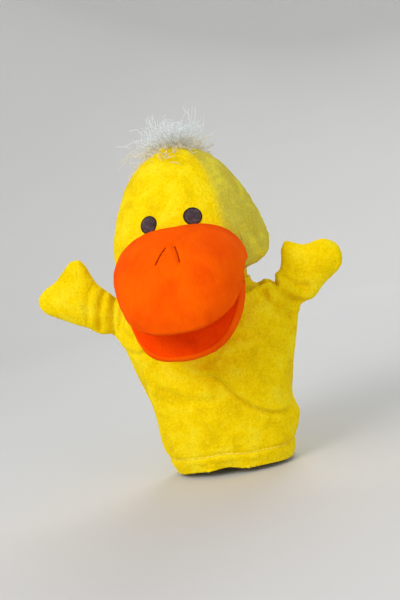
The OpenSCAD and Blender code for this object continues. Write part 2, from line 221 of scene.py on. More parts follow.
def get_points(piece: bpy.types.Object) -> np.ndarray:
    """The piece's points in millimetres.

    Args:
        piece: The piece.

    Returns:
        The points.
    """
    flat = np.zeros(len(piece.data.vertices) * 3, np.float32)
    piece.data.vertices.foreach_get("co", flat)
    return flat.reshape(-1, 3).astype(float) / MM


def set_points(piece: bpy.types.Object, points: np.ndarray) -> None:
    """Puts points in millimetres back into the piece.

    Args:
        piece: The piece.
        points: Points in millimetres.
    """
    piece.data.vertices.foreach_set("co", (points * MM).astype(np.float32).ravel())
    piece.data.update()


def get_normals(piece: bpy.types.Object) -> np.ndarray:
    """The normals at the piece's points.

    Args:
        piece: The piece.

    Returns:
        The normals.
    """
    flat = np.zeros(len(piece.data.vertices) * 3, np.float32)
    piece.data.vertex_normals.foreach_get("vector", flat)
    return flat.reshape(-1, 3).astype(float)


def face_outwards(piece: bpy.types.Object, centre: tuple) -> None:
    """Turns every face over if the sheet mostly faces the centre, in millimetres.

    Args:
        piece: The piece.
        centre: The point to face away from.
    """
    away = get_points(piece) - np.array(centre)
    if (get_normals(piece) * away).sum() < 0:
        piece.data.flip_normals()


def settle(piece: bpy.types.Object) -> None:
    """Turns a piece with its modifiers into a plain mesh.

    Args:
        piece: The piece.
    """
    graph = bpy.context.evaluated_depsgraph_get()
    graph.update()
    made = bpy.data.meshes.new_from_object(piece.evaluated_get(graph))
    old = piece.data
    piece.modifiers.clear()
    piece.data = made
    made.name = piece.name
    bpy.data.meshes.remove(old)


def thicken(piece: bpy.types.Object, thickness: float, share: float = -1.0) -> None:
    """Gives a sheet its thickness in millimetres, inwards unless share says otherwise.

    Args:
        piece: The piece.
        thickness: The thickness.
        share: The modifier's offset: -1 is inwards.
    """
    wall = piece.modifiers.new("wall", "SOLIDIFY")
    wall.thickness = thickness * MM
    wall.offset = share
    wall.use_rim = True
    settle(piece)


def refine(piece: bpy.types.Object, levels: int = 1) -> None:
    """Subdivides a piece smoothly and settles it.

    Args:
        piece: The piece.
        levels: How many times.
    """
    smooth = piece.modifiers.new("smooth", "SUBSURF")
    smooth.levels = levels
    smooth.render_levels = levels
    settle(piece)


def relax(piece: bpy.types.Object, weight: np.ndarray, rounds: int) -> None:
    """Draws each point towards the middle of its neighbours.

    Args:
        piece: The piece.
        weight: How far each point goes in a round, from 0 to 1.
        rounds: How many rounds.
    """
    ends = np.zeros(len(piece.data.edges) * 2, np.int32)
    piece.data.edges.foreach_get("vertices", ends)
    a, b = ends.reshape(-1, 2).T
    p = get_points(piece)
    count = np.bincount(np.r_[a, b], minlength=len(p))[:, None]
    for _ in range(rounds):
        total = np.stack([np.bincount(np.r_[a, b], weights=np.r_[p[b, k], p[a, k]],
                                      minlength=len(p)) for k in range(3)], 1)
        p += (total / count - p) * weight[:, None]
    set_points(piece, p)


def number_on_points(piece: bpy.types.Object, name: str, values: np.ndarray) -> None:
    """Stores a number on each point, for a material to read.

    Args:
        piece: The piece.
        name: The attribute's name.
        values: One number for each point.
    """
    layer = piece.data.attributes.get(name) or piece.data.attributes.new(name, "FLOAT", "POINT")
    layer.data.foreach_set("value", np.asarray(values, np.float32))


def noise(points: np.ndarray, size: float, seed: int) -> np.ndarray:
    """Soft unevenness from -1 to 1, made of a few waves in fixed random directions.

    Args:
        points: Points in millimetres.
        size: How far apart its bumps are.
        seed: Picks the directions.

    Returns:
        The unevenness at each point.
    """
    draw = np.random.default_rng(seed)
    total = np.zeros(len(points))
    waves = 7
    for _ in range(waves):
        d = draw.normal(size=3)
        d *= draw.uniform(0.6, 1.5) / (np.linalg.norm(d) * size)
        total += np.sin(points @ d * 2 * math.pi + draw.uniform(0, 2 * math.pi))
    return total / math.sqrt(waves * 2)


class Face(Enum):
    """The side of the puppet that a crease lies on, as the sign of its y."""

    FRONT = -1
    BACK = 1


@dataclass(frozen=True)
class Crease:
    """A fold line in cloth: a groove with a fuller ridge beside it.

    Attributes:
        line: Points as x and z.
        depth: Depth of the groove.
        width: Half width of the groove.
        ridge: Height of the ridge on the line's left.
        face: The side of the puppet that it lies on.
    """

    line: tuple
    depth: float
    width: float
    ridge: float = 0.0
    face: Face = Face.FRONT

    def lift(self, points: np.ndarray, normals: np.ndarray) -> np.ndarray:
        """How far the crease moves each point along its normal.

        Args:
            points: Points in millimetres.
            normals: Their normals.

        Returns:
            The distances, negative inwards.
        """
        distance, side, along = from_line(points[:, [0, 2]], through(list(self.line), 5))
        fade = smooth_step(along, 0, 0.18) * (1 - smooth_step(along, 0.82, 1))
        facing = smooth_step(normals[:, 1] * self.face.value, -0.05, 0.3)
        signed = distance * side
        groove = -self.depth * mound(distance, self.width)
        ridge = self.ridge * mound(signed - 1.9 * self.width, 1.5 * self.width)
        return (groove + ridge) * fade * facing


@dataclass(frozen=True)
class Lump:
    """A fuller or hollower place in cloth."""

    centre: tuple
    reach: float
    height: float

    def lift(self, points: np.ndarray) -> np.ndarray:
        """How far the lump moves each point along its normal.

        Args:
            points: Points in millimetres.

        Returns:
            The distances.
        """
        distance = np.linalg.norm(points - np.array(self.centre), axis=1)
        return self.height * mound(distance, self.reach)


# ---------------------------------------------------------------- finishes


def node_group(name: str, inputs: dict, outputs: dict) -> tuple:
    """Starts a shader node group.

    Args:
        name: The group's name.
        inputs: Socket types by name, each with its default.
        outputs: Socket types by name.

    Returns:
        The group, its input node and its output node.
    """
    group = bpy.data.node_groups.new(name, "ShaderNodeTree")
    for socket, (kind, value) in inputs.items():
        made = group.interface.new_socket(socket, in_out="INPUT", socket_type=kind)
        made.default_value = value
    for socket, kind in outputs.items():
        group.interface.new_socket(socket, in_out="OUTPUT", socket_type=kind)
    return group, group.nodes.new("NodeGroupInput"), group.nodes.new("NodeGroupOutput")


def pile_group() -> bpy.types.NodeTree:
    """Short pile: fine fibres, brushed patches and the knit's faint lines under them, with painted
    shade in creases and on one side of the head.

    Returns:
        The shader group.
    """
    group, source, sink = node_group(
        "short_pile",
        {"Base": ("NodeSocketColor", (0.8, 0.6, 0.05, 1)),
         "Deep": ("NodeSocketColor", (0.5, 0.3, 0.0, 1)),
         "Tip": ("NodeSocketColor", (1, 0.9, 0.3, 1)),
         "Side": ("NodeSocketColor", (0.6, 0.6, 0.1, 1)),
         "Fibre Scale": ("NodeSocketFloat", 900.0),
         "Patch Scale": ("NodeSocketFloat", 60.0),
         "Line Scale": ("NodeSocketFloat", 500.0),
         "Patchiness": ("NodeSocketFloat", 0.5),
         "Fleck": ("NodeSocketFloat", 0.5)},
        {"Color": "NodeSocketColor", "Height": "NodeSocketFloat", "Roughness": "NodeSocketFloat"})
    add, link = group.nodes.new, group.links.new
    place = add("ShaderNodeTexCoord")
    warp = add("ShaderNodeTexNoise")
    warp.inputs["Scale"].default_value = 45
    link(place.outputs["Object"], warp.inputs["Vector"])
    shift = add("ShaderNodeVectorMath")
    shift.operation = "MULTIPLY_ADD"
    shift.inputs[1].default_value = (0.006, 0.006, 0.006)
    link(warp.outputs["Color"], shift.inputs[0])
    link(place.outputs["Object"], shift.inputs[2])

    fibres = add("ShaderNodeTexNoise")
    fibres.inputs["Detail"].default_value = 3
    fibres.inputs["Roughness"].default_value = 0.6
    link(place.outputs["Object"], fibres.inputs["Vector"])
    link(source.outputs["Fibre Scale"], fibres.inputs["Scale"])

    stretch = add("ShaderNodeMapping")
    stretch.inputs["Scale"].default_value = (1.0, 1.0, 0.16)
    link(shift.outputs[0], stretch.inputs["Vector"])
    lines = add("ShaderNodeTexNoise")
    lines.inputs["Detail"].default_value = 2
    link(stretch.outputs[0], lines.inputs["Vector"])
    link(source.outputs["Line Scale"], lines.inputs["Scale"])

    patches = add("ShaderNodeTexNoise")
    patches.inputs["Detail"].default_value = 4
    patches.inputs["Roughness"].default_value = 0.55
    patches.inputs["Distortion"].default_value = 0.4
    link(shift.outputs[0], patches.inputs["Vector"])
    link(source.outputs["Patch Scale"], patches.inputs["Scale"])

    def stretched(value: bpy.types.NodeSocket, low: float, high: float) -> bpy.types.NodeSocket:
        """The socket's value, spread so that low becomes 0 and high becomes 1.

        Args:
            value: The socket that is spread.
            low: The value that becomes 0.
            high: The value that becomes 1.

        Returns:
            The socket of the spread value.
        """
        spread = add("ShaderNodeMapRange")
        spread.inputs["From Min"].default_value = low
        spread.inputs["From Max"].default_value = high
        link(value, spread.inputs["Value"])
        return spread.outputs["Result"]

    def times(a: bpy.types.NodeSocket, b: bpy.types.NodeSocket | float) -> bpy.types.NodeSocket:
        """The product of a socket and a socket or number.

        Args:
            a: The first factor.
            b: The second factor.

        Returns:
            The socket of the product.
        """
        node = add("ShaderNodeMath")
        node.operation = "MULTIPLY"
        link(a, node.inputs[0])
        if isinstance(b, float):
            node.inputs[1].default_value = b
        else:
            link(b, node.inputs[1])
        return node.outputs[0]

    def mixed(a: bpy.types.NodeSocket, b: bpy.types.NodeSocket,
              share: bpy.types.NodeSocket) -> bpy.types.NodeSocket:
        """Colour a turned into colour b by a share.

        Args:
            a: The colour at share 0.
            b: The colour at share 1.
            share: The share.

        Returns:
            The socket of the mixed colour.
        """
        node = add("ShaderNodeMix")
        node.data_type = "RGBA"
        link(share, node.inputs["Factor"])
        link(a, node.inputs[6])
        link(b, node.inputs[7])
        return node.outputs[2]

    side_shade_and_root_tint = add("ShaderNodeAttribute")
    side_shade_and_root_tint.attribute_name = "side_shade_and_root_tint"
    shade = add("ShaderNodeAttribute")
    shade.attribute_name = "shade"
    bright = times(stretched(patches.outputs["Fac"], 0.5, 0.68), source.outputs["Patchiness"])
    dull = times(stretched(patches.outputs["Fac"], 0.5, 0.32), source.outputs["Patchiness"])
    fleck = times(stretched(fibres.outputs["Fac"], 0.52, 0.75), source.outputs["Fleck"])
    pit = times(stretched(fibres.outputs["Fac"], 0.48, 0.25), source.outputs["Fleck"])
    knit = times(stretched(lines.outputs["Fac"], 0.5, 0.3), 0.35)
    # Painted shade: the Side colour darkens the head's right side, where it turns away from the
    # light; on the tuft the same attribute gives the fibres a cream tint near their roots.
    colour = mixed(source.outputs["Base"], source.outputs["Side"], side_shade_and_root_tint.outputs["Fac"])
    colour = mixed(colour, source.outputs["Tip"], bright)
    # Random dull patches, knit lines and pits darken towards Deep, and the shade attribute adds
    # painted shade in creases and seams.
    for share in (dull, times(knit, source.outputs["Patchiness"]), pit, shade.outputs["Fac"]):
        colour = mixed(colour, source.outputs["Deep"], share)
    colour = mixed(colour, source.outputs["Tip"], fleck)
    link(colour, sink.inputs["Color"])

    height = add("ShaderNodeMath")
    height.operation = "MULTIPLY_ADD"
    height.inputs[1].default_value = 0.6
    link(lines.outputs["Fac"], height.inputs[0])
    link(fibres.outputs["Fac"], height.inputs[2])
    link(height.outputs[0], sink.inputs["Height"])
    rough = add("ShaderNodeMapRange")
    rough.inputs["To Min"].default_value = 0.78
    rough.inputs["To Max"].default_value = 0.97
    link(patches.outputs["Fac"], rough.inputs["Value"])
    link(rough.outputs["Result"], sink.inputs["Roughness"])
    return group


def weave_group() -> bpy.types.NodeTree:
    """Plain woven cloth or card: crossing threads with slubs.

    Returns:
        The shader group.
    """
    group, source, sink = node_group(
        "plain_weave",
        {"Base": ("NodeSocketColor", (0.8, 0.78, 0.7, 1)),
         "Deep": ("NodeSocketColor", (0.5, 0.48, 0.4, 1)),
         "Thread Scale": ("NodeSocketFloat", 700.0)},
        {"Color": "NodeSocketColor", "Height": "NodeSocketFloat"})
    add, link = group.nodes.new, group.links.new
    place = add("ShaderNodeTexCoord")
    threads = []
    for axis in ("X", "Z"):
        wave = add("ShaderNodeTexWave")
        wave.bands_direction = axis
        wave.inputs["Distortion"].default_value = 1.5
        wave.inputs["Detail"].default_value = 1
        link(place.outputs["Object"], wave.inputs["Vector"])
        link(source.outputs["Thread Scale"], wave.inputs["Scale"])
        threads.append(wave)
    cross = add("ShaderNodeMath")
    cross.operation = "MAXIMUM"
    for i, wave in enumerate(threads):
        link(wave.outputs["Fac"], cross.inputs[i])
    slub = add("ShaderNodeTexNoise")
    slub.inputs["Scale"].default_value = 120
    link(place.outputs["Object"], slub.inputs["Vector"])
    share = add("ShaderNodeMath")
    share.operation = "MULTIPLY"
    link(cross.outputs[0], share.inputs[0])
    link(slub.outputs["Fac"], share.inputs[1])
    colour = add("ShaderNodeMix")
    colour.data_type = "RGBA"
    link(share.outputs[0], colour.inputs["Factor"])
    link(source.outputs["Deep"], colour.inputs[6])
    link(source.outputs["Base"], colour.inputs[7])
    link(colour.outputs[2], sink.inputs["Color"])
    link(cross.outputs[0], sink.inputs["Height"])
    return group


@dataclass(frozen=True)
class PileFinish:
    """Plush, velour or thread, from the shared short pile group.

    Attributes:
        name: The material's name.
        base: Main colour.
        deep: Darker colour of the random dull patches, pits and knit lines, and of the painted
            shade in creases and seams.
        tip: Colour of brushed places and fibre tips.
        side: Painted shade colour on the head's right side, where it turns away from the light; on
            the tuft, the fibres' tint near their roots.
        sheen: Weight of the sheen.
        sheen_tint: Colour of the sheen.
        fibre_scale: Fibres to a metre.
        patch_scale: Brushed patches to a metre.
        patchiness: Strength of the patches.
        fleck: Strength of the flecks.
        bump: Depth of the pile, in millimetres.
        gloss: Level of the plain reflection.
    """

    name: str
    base: tuple
    deep: tuple
    tip: tuple
    side: tuple
    sheen: float = 0.5
    sheen_tint: tuple = (1.0, 0.9, 0.5, 1.0)
    fibre_scale: float = 900.0
    patch_scale: float = 60.0
    patchiness: float = 0.5
    fleck: float = 0.5
    bump: float = 0.5
    gloss: float = 0.03

    def material(self) -> bpy.types.Material:
        """Makes the material, or finds it if it is made already.

        Returns:
            The material.
        """
        found = bpy.data.materials.get(self.name + FINISH_END)
        if found:
            return found
        made, shader, link = start_material(self.name + FINISH_END)
        pile = made.node_tree.nodes.new("ShaderNodeGroup")
        pile.node_tree = bpy.data.node_groups.get("short_pile") or pile_group()
        for socket, value in (("Base", self.base), ("Deep", self.deep), ("Tip", self.tip),
                              ("Side", self.side)):
            pile.inputs[socket].default_value = (*value, 1)
        pile.inputs["Fibre Scale"].default_value = self.fibre_scale
        pile.inputs["Line Scale"].default_value = self.fibre_scale * 0.6
        pile.inputs["Patch Scale"].default_value = self.patch_scale
        pile.inputs["Patchiness"].default_value = self.patchiness
        pile.inputs["Fleck"].default_value = self.fleck
        link(pile.outputs["Color"], shader.inputs["Base Color"])
        link(pile.outputs["Roughness"], shader.inputs["Roughness"])
        add_bump(made, shader, pile.outputs["Height"], self.bump)
        shader.inputs["Sheen Weight"].default_value = self.sheen
        shader.inputs["Sheen Roughness"].default_value = 0.45
        shader.inputs["Sheen Tint"].default_value = self.sheen_tint
        shader.inputs["Specular IOR Level"].default_value = self.gloss
        return made


@dataclass(frozen=True)
class WeaveFinish:
    """Woven cloth, filling or card, from the shared weave group."""

    name: str
    base: tuple
    deep: tuple
    thread_scale: float = 700.0
    bump: float = 0.15
    roughness: float = 0.85

    def material(self) -> bpy.types.Material:
        """Makes the material, or finds it if it is made already.

        Returns:
            The material.
        """
        found = bpy.data.materials.get(self.name + FINISH_END)
        if found:
            return found
        made, shader, link = start_material(self.name + FINISH_END)
        weave = made.node_tree.nodes.new("ShaderNodeGroup")
        weave.node_tree = bpy.data.node_groups.get("plain_weave") or weave_group()
        weave.inputs["Base"].default_value = (*self.base, 1)
        weave.inputs["Deep"].default_value = (*self.deep, 1)
        weave.inputs["Thread Scale"].default_value = self.thread_scale
        link(weave.outputs["Color"], shader.inputs["Base Color"])
        add_bump(made, shader, weave.outputs["Height"], self.bump)
        shader.inputs["Roughness"].default_value = self.roughness
        shader.inputs["Specular IOR Level"].default_value = 0.2
        return made


def start_material(name: str) -> tuple:
    """Starts a node material.

    Args:
        name: The material's name.

    Returns:
        The material, its shader and the function that links sockets.
    """
    made = bpy.data.materials.new(name)
    made.use_nodes = True
    return made, made.node_tree.nodes["Principled BSDF"], made.node_tree.links.new


def add_bump(made: bpy.types.Material, shader: bpy.types.Node, height: bpy.types.NodeSocket,
             depth: float) -> None:
    """Roughens a material's surface by a height, to a depth in millimetres.

    Args:
        made: The material.
        shader: Its surface shader.
        height: The socket of the height.
        depth: The depth.
    """
    bump = made.node_tree.nodes.new("ShaderNodeBump")
    bump.inputs["Strength"].default_value = 1.0
    bump.inputs["Distance"].default_value = depth * MM
    made.node_tree.links.new(height, bump.inputs["Height"])
    made.node_tree.links.new(bump.outputs["Normal"], shader.inputs["Normal"])


# yellow_plush's side colour is the painted shade of the head's right side.
YELLOW_PLUSH = PileFinish(
    "yellow_plush", base=(0.97, 0.70, 0.0), deep=(0.70, 0.46, 0.0), tip=(1.0, 0.86, 0.03),
    side=(0.56, 0.50, 0.07), sheen=0.2, sheen_tint=(1.0, 0.85, 0.10, 1), fibre_scale=620,
    patch_scale=70, patchiness=0.5, fleck=0.55, bump=0.8)
ORANGE_VELOUR = PileFinish(
    "orange_velour", base=(1.0, 0.105, 0.0), deep=(0.80, 0.05, 0.0), tip=(1.0, 0.16, 0.0),
    side=(0.8, 0.12, 0.0), sheen=0.08, sheen_tint=(1.0, 0.25, 0.02, 1), fibre_scale=1300,
    patch_scale=45, patchiness=0.5, fleck=0.3, bump=0.25)
MOUTH_LINING = PileFinish(
    "mouth_lining", base=(0.98, 0.062, 0.0), deep=(0.55, 0.02, 0.0), tip=(1.0, 0.10, 0.0),
    side=(0.7, 0.05, 0.0), sheen=0.06, sheen_tint=(1.0, 0.25, 0.02, 1), fibre_scale=1300,
    patch_scale=60, patchiness=0.4, fleck=0.25, bump=0.2)
NOSTRIL_THREAD = PileFinish(
    "nostril_thread", base=(0.33, 0.022, 0.0), deep=(0.15, 0.006, 0.0), tip=(0.5, 0.05, 0.0),
    side=(0.3, 0.02, 0.0), sheen=0.1, fibre_scale=2500, patch_scale=200, bump=0.1)
EYE_THREAD = PileFinish(
    "eye_thread", base=(0.085, 0.058, 0.068), deep=(0.03, 0.018, 0.02), tip=(0.17, 0.13, 0.15),
    side=(0.08, 0.06, 0.07), sheen=0.15, sheen_tint=(0.8, 0.75, 0.85, 1), fibre_scale=2500,
    patch_scale=300, patchiness=0.6, bump=0.08)
EYE_OUTLINE = PileFinish(
    "eye_outline_thread", base=(0.022, 0.012, 0.008), deep=(0.008, 0.004, 0.002),
    tip=(0.06, 0.04, 0.03), side=(0.02, 0.01, 0.01), sheen=0.1, fibre_scale=2500,
    patch_scale=300, bump=0.08)
YELLOW_THREAD = PileFinish(
    "yellow_thread", base=(0.96, 0.80, 0.10), deep=(0.6, 0.42, 0.01), tip=(1.0, 0.93, 0.35),
    side=(0.9, 0.8, 0.1), sheen=0.2, fibre_scale=2500, patch_scale=200, bump=0.1)
TUFT_FIBRE = PileFinish(
    "tuft_fibre", base=(0.90, 0.95, 0.97), deep=(0.76, 0.83, 0.87), tip=(0.98, 0.99, 1.0),
    side=(0.80, 0.68, 0.42), sheen=0.4, sheen_tint=(0.9, 0.95, 1.0, 1), fibre_scale=1500,
    patch_scale=150, patchiness=0.4, fleck=0.3, bump=0.05)
TUFT_BASE = PileFinish(
    "tuft_base_cloth", base=(0.84, 0.78, 0.60), deep=(0.6, 0.5, 0.3), tip=(0.95, 0.93, 0.85),
    side=(0.8, 0.7, 0.4), sheen=0.4, fibre_scale=900, patch_scale=200, patchiness=0.5, bump=0.6)
POCKET_CLOTH = WeaveFinish("pocket_lining", (0.80, 0.77, 0.68), (0.55, 0.52, 0.44))
BOARD_CARD = WeaveFinish("mouth_board", (0.50, 0.49, 0.45), (0.34, 0.32, 0.29), thread_scale=300,
                         bump=0.05, roughness=0.7)


def dress(piece: bpy.types.Object, finish: PileFinish | WeaveFinish) -> None:
    """Gives a piece one finish.

    Args:
        piece: The piece.
        finish: The finish.
    """
    piece.data.materials.clear()
    piece.data.materials.append(finish.material())


def done(piece: bpy.types.Object) -> None:
    """Reports a finished piece.

    Args:
        piece: The piece.
    """
    LOG.info("%s: %d faces", piece.name, len(piece.data.polygons))


# ---------------------------------------------------------------- geometry node trees


class Tree:
    """A Geometry Nodes tree with named inputs, used once as a modifier and then settled."""

    def __init__(self, name: str, sizes: dict) -> None:
        """Starts the tree.

        Args:
            name: The tree's name.
            sizes: Default numbers by input name; whole numbers make integer inputs.
        """
        self.tree = bpy.data.node_groups.new(name, "GeometryNodeTree")
        face = self.tree.interface
        face.new_socket("Geometry", in_out="INPUT", socket_type="NodeSocketGeometry")
        for size, value in sizes.items():
            kind = "NodeSocketInt" if isinstance(value, int) else "NodeSocketFloat"
            face.new_socket(size, in_out="INPUT", socket_type=kind).default_value = value
        face.new_socket("Material", in_out="INPUT", socket_type="NodeSocketMaterial")
        face.new_socket("Geometry", in_out="OUTPUT", socket_type="NodeSocketGeometry")
        self.source = self.tree.nodes.new("NodeGroupInput")
        self.sink = self.tree.nodes.new("NodeGroupOutput")

    def node(self, kind: str, links: dict | None = None, **settings: object) -> bpy.types.Node:
        """Adds a node.

        Args:
            kind: The node's type.
            links: Sockets or values by input name or number.
            settings: The node's own settings.

        Returns:
            The node.
        """
        made = self.tree.nodes.new(kind)
        for setting, value in settings.items():
            setattr(made, setting, value)
        for socket, value in (links or {}).items():
            if isinstance(value, bpy.types.NodeSocket):
                self.tree.links.new(value, made.inputs[socket])
            else:
                made.inputs[socket].default_value = value
        return made

    def size(self, name: str) -> bpy.types.NodeSocket:
        """The socket of one of the tree's inputs.

        Args:
            name: The input's name.

        Returns:
            The socket.
        """
        return self.source.outputs[name]

    def end(self, geometry: bpy.types.NodeSocket) -> None:
        """Ends the tree in Realize Instances and Set Material.

        Args:
            geometry: The geometry to end with.
        """
        real = self.node("GeometryNodeRealizeInstances", {"Geometry": geometry})
        smooth = self.node("GeometryNodeSetShadeSmooth", {"Geometry": real.outputs[0]})
        dressed = self.node("GeometryNodeSetMaterial",
                            {"Geometry": smooth.outputs[0], "Material": self.size("Material")})
        self.tree.links.new(dressed.outputs[0], self.sink.inputs[0])

    def grow(self, piece: bpy.types.Object, sizes: dict, finish: PileFinish) -> None:
        """Runs the tree on a piece and keeps the result as its plain mesh.

        Args:
            piece: The piece whose mesh the tree works from.
            sizes: Numbers by input name.
            finish: The finish of the result.
        """
        modifier = piece.modifiers.new("grow", "NODES")
        modifier.node_group = self.tree
        values = {**sizes, "Material": finish.material()}
        for item in self.tree.interface.items_tree:
            if item.in_out == "INPUT" and item.name in values:
                modifier[item.identifier] = values[item.name]
        settle(piece)
        dress(piece, finish)


class StitchTree(Tree):
    """A row of short plump stitches along lines."""

    def __init__(self) -> None:
        """Builds the tree: resample the lines, put a stitch at each point, turned along."""
        super().__init__("stitch_row", {"Pitch": 0.003, "Length": 0.002, "Radius": 0.0003})
        curve = self.node("GeometryNodeMeshToCurve", {"Mesh": self.size("Geometry")})
        points = self.node("GeometryNodeResampleCurve",
                           {"Curve": curve.outputs[0], "Length": self.size("Pitch")}, mode="LENGTH")
        half = self.node("ShaderNodeMath", {0: self.size("Length"), 1: 0.5}, operation="MULTIPLY")
        stitch = self.node("GeometryNodeMeshUVSphere", {"Segments": 8, "Rings": 6, "Radius": 1.0})
        scale = self.node("ShaderNodeCombineXYZ", {0: self.size("Radius"), 1: self.size("Radius"),
                                                   2: half.outputs[0]})
        tangent = self.node("GeometryNodeInputTangent")
        turn = self.node("FunctionNodeAlignRotationToVector", {"Vector": tangent.outputs[0]},
                         axis="Z")
        placed = self.node("GeometryNodeInstanceOnPoints",
                           {"Points": points.outputs[0], "Instance": stitch.outputs[0],
                            "Rotation": turn.outputs[0], "Scale": scale.outputs[0]})
        self.end(placed.outputs[0])


class ThreadTree(Tree):
    """A thread laid along each line."""

    def __init__(self) -> None:
        """Builds the tree: sweep a small round along the lines and cap its ends."""
        super().__init__("laid_thread", {"Radius": 0.0003, "Sides": 6})
        curve = self.node("GeometryNodeMeshToCurve", {"Mesh": self.size("Geometry")})
        ring = self.node("GeometryNodeCurvePrimitiveCircle",
                         {"Resolution": self.size("Sides"), "Radius": self.size("Radius")})
        swept = self.node("GeometryNodeCurveToMesh", {"Curve": curve.outputs[0],
                                                      "Profile Curve": ring.outputs[0],
                                                      "Fill Caps": True})
        self.end(swept.outputs[0])


class TuftTree(Tree):
    """Long fine fibres that stand on a patch, splay and curl."""

    def __init__(self) -> None:
        """Builds the tree: scatter roots, splay the fibres, curl them and give them a taper."""
        super().__init__("splayed_fibres", {"Count Density": 2e6, "Length": 0.02, "Splay": 0.9,
                                            "Curl": 0.006, "Radius": 0.0002, "Seed": 1})
        roots = self.node("GeometryNodeDistributePointsOnFaces",
                          {"Mesh": self.size("Geometry"), "Density": self.size("Count Density"),
                           "Seed": self.size("Seed")})
        strand = self.node("GeometryNodeCurvePrimitiveLine", {"End": (0, 0, 1)})
        steps = self.node("GeometryNodeResampleCurve", {"Curve": strand.outputs[0], "Count": 9})
        lean = self.node("FunctionNodeRandomValue",
                         {0: (-1, -1, -0.5), 1: (1, 1, 0.5), "Seed": self.size("Seed")},
                         data_type="FLOAT_VECTOR")
        tilt = self.node("ShaderNodeVectorMath", {0: lean.outputs[0], 3: self.size("Splay")},
                         operation="SCALE")
        turn = self.node("FunctionNodeRotateRotation",
                         {0: roots.outputs["Rotation"], 1: tilt.outputs[0]})
        share = self.node("FunctionNodeRandomValue", {2: 0.35, 3: 1.0, "Seed": 7},
                          data_type="FLOAT")
        length = self.node("ShaderNodeMath", {0: share.outputs[1], 1: self.size("Length")},
                           operation="MULTIPLY")
        placed = self.node("GeometryNodeInstanceOnPoints",
                           {"Points": roots.outputs[0], "Instance": steps.outputs[0],
                            "Rotation": turn.outputs[0], "Scale": length.outputs[0]})
        real = self.node("GeometryNodeRealizeInstances", {"Geometry": placed.outputs[0]})
        along = self.node("GeometryNodeSplineParameter")
        bend = self.node("ShaderNodeMath", {0: along.outputs["Factor"], 1: 1.6}, operation="POWER")
        where = self.node("GeometryNodeInputPosition")
        swirl = self.node("ShaderNodeTexNoise", {"Vector": where.outputs[0], "Scale": 70.0,
                                                 "Detail": 1.0})
        middle = self.node("ShaderNodeVectorMath", {0: swirl.outputs["Color"], 1: (0.5, 0.5, 0.56)},
                           operation="SUBTRACT")
        reach = self.node("ShaderNodeMath", {0: bend.outputs[0], 1: self.size("Curl")},
                          operation="MULTIPLY")
        offset = self.node("ShaderNodeVectorMath", {0: middle.outputs[0], 3: reach.outputs[0]},
                           operation="SCALE")
        curled = self.node("GeometryNodeSetPosition", {"Geometry": real.outputs[0],
                                                       "Offset": offset.outputs[0]})
        taper = self.node("ShaderNodeMapRange", {"Value": along.outputs["Factor"], 3: 1.0, 4: 0.25})
        thick = self.node("GeometryNodeSetCurveRadius", {"Curve": curled.outputs[0],
                                                         "Radius": taper.outputs[0]})
        ring = self.node("GeometryNodeCurvePrimitiveCircle", {"Resolution": 3,
                                                              "Radius": self.size("Radius")})
        swept = self.node("GeometryNodeCurveToMesh", {"Curve": thick.outputs[0],
                                                      "Profile Curve": ring.outputs[0],
                                                      "Fill Caps": True})
        self.end(swept.outputs[0])


# ---------------------------------------------------------------- the puppet's form


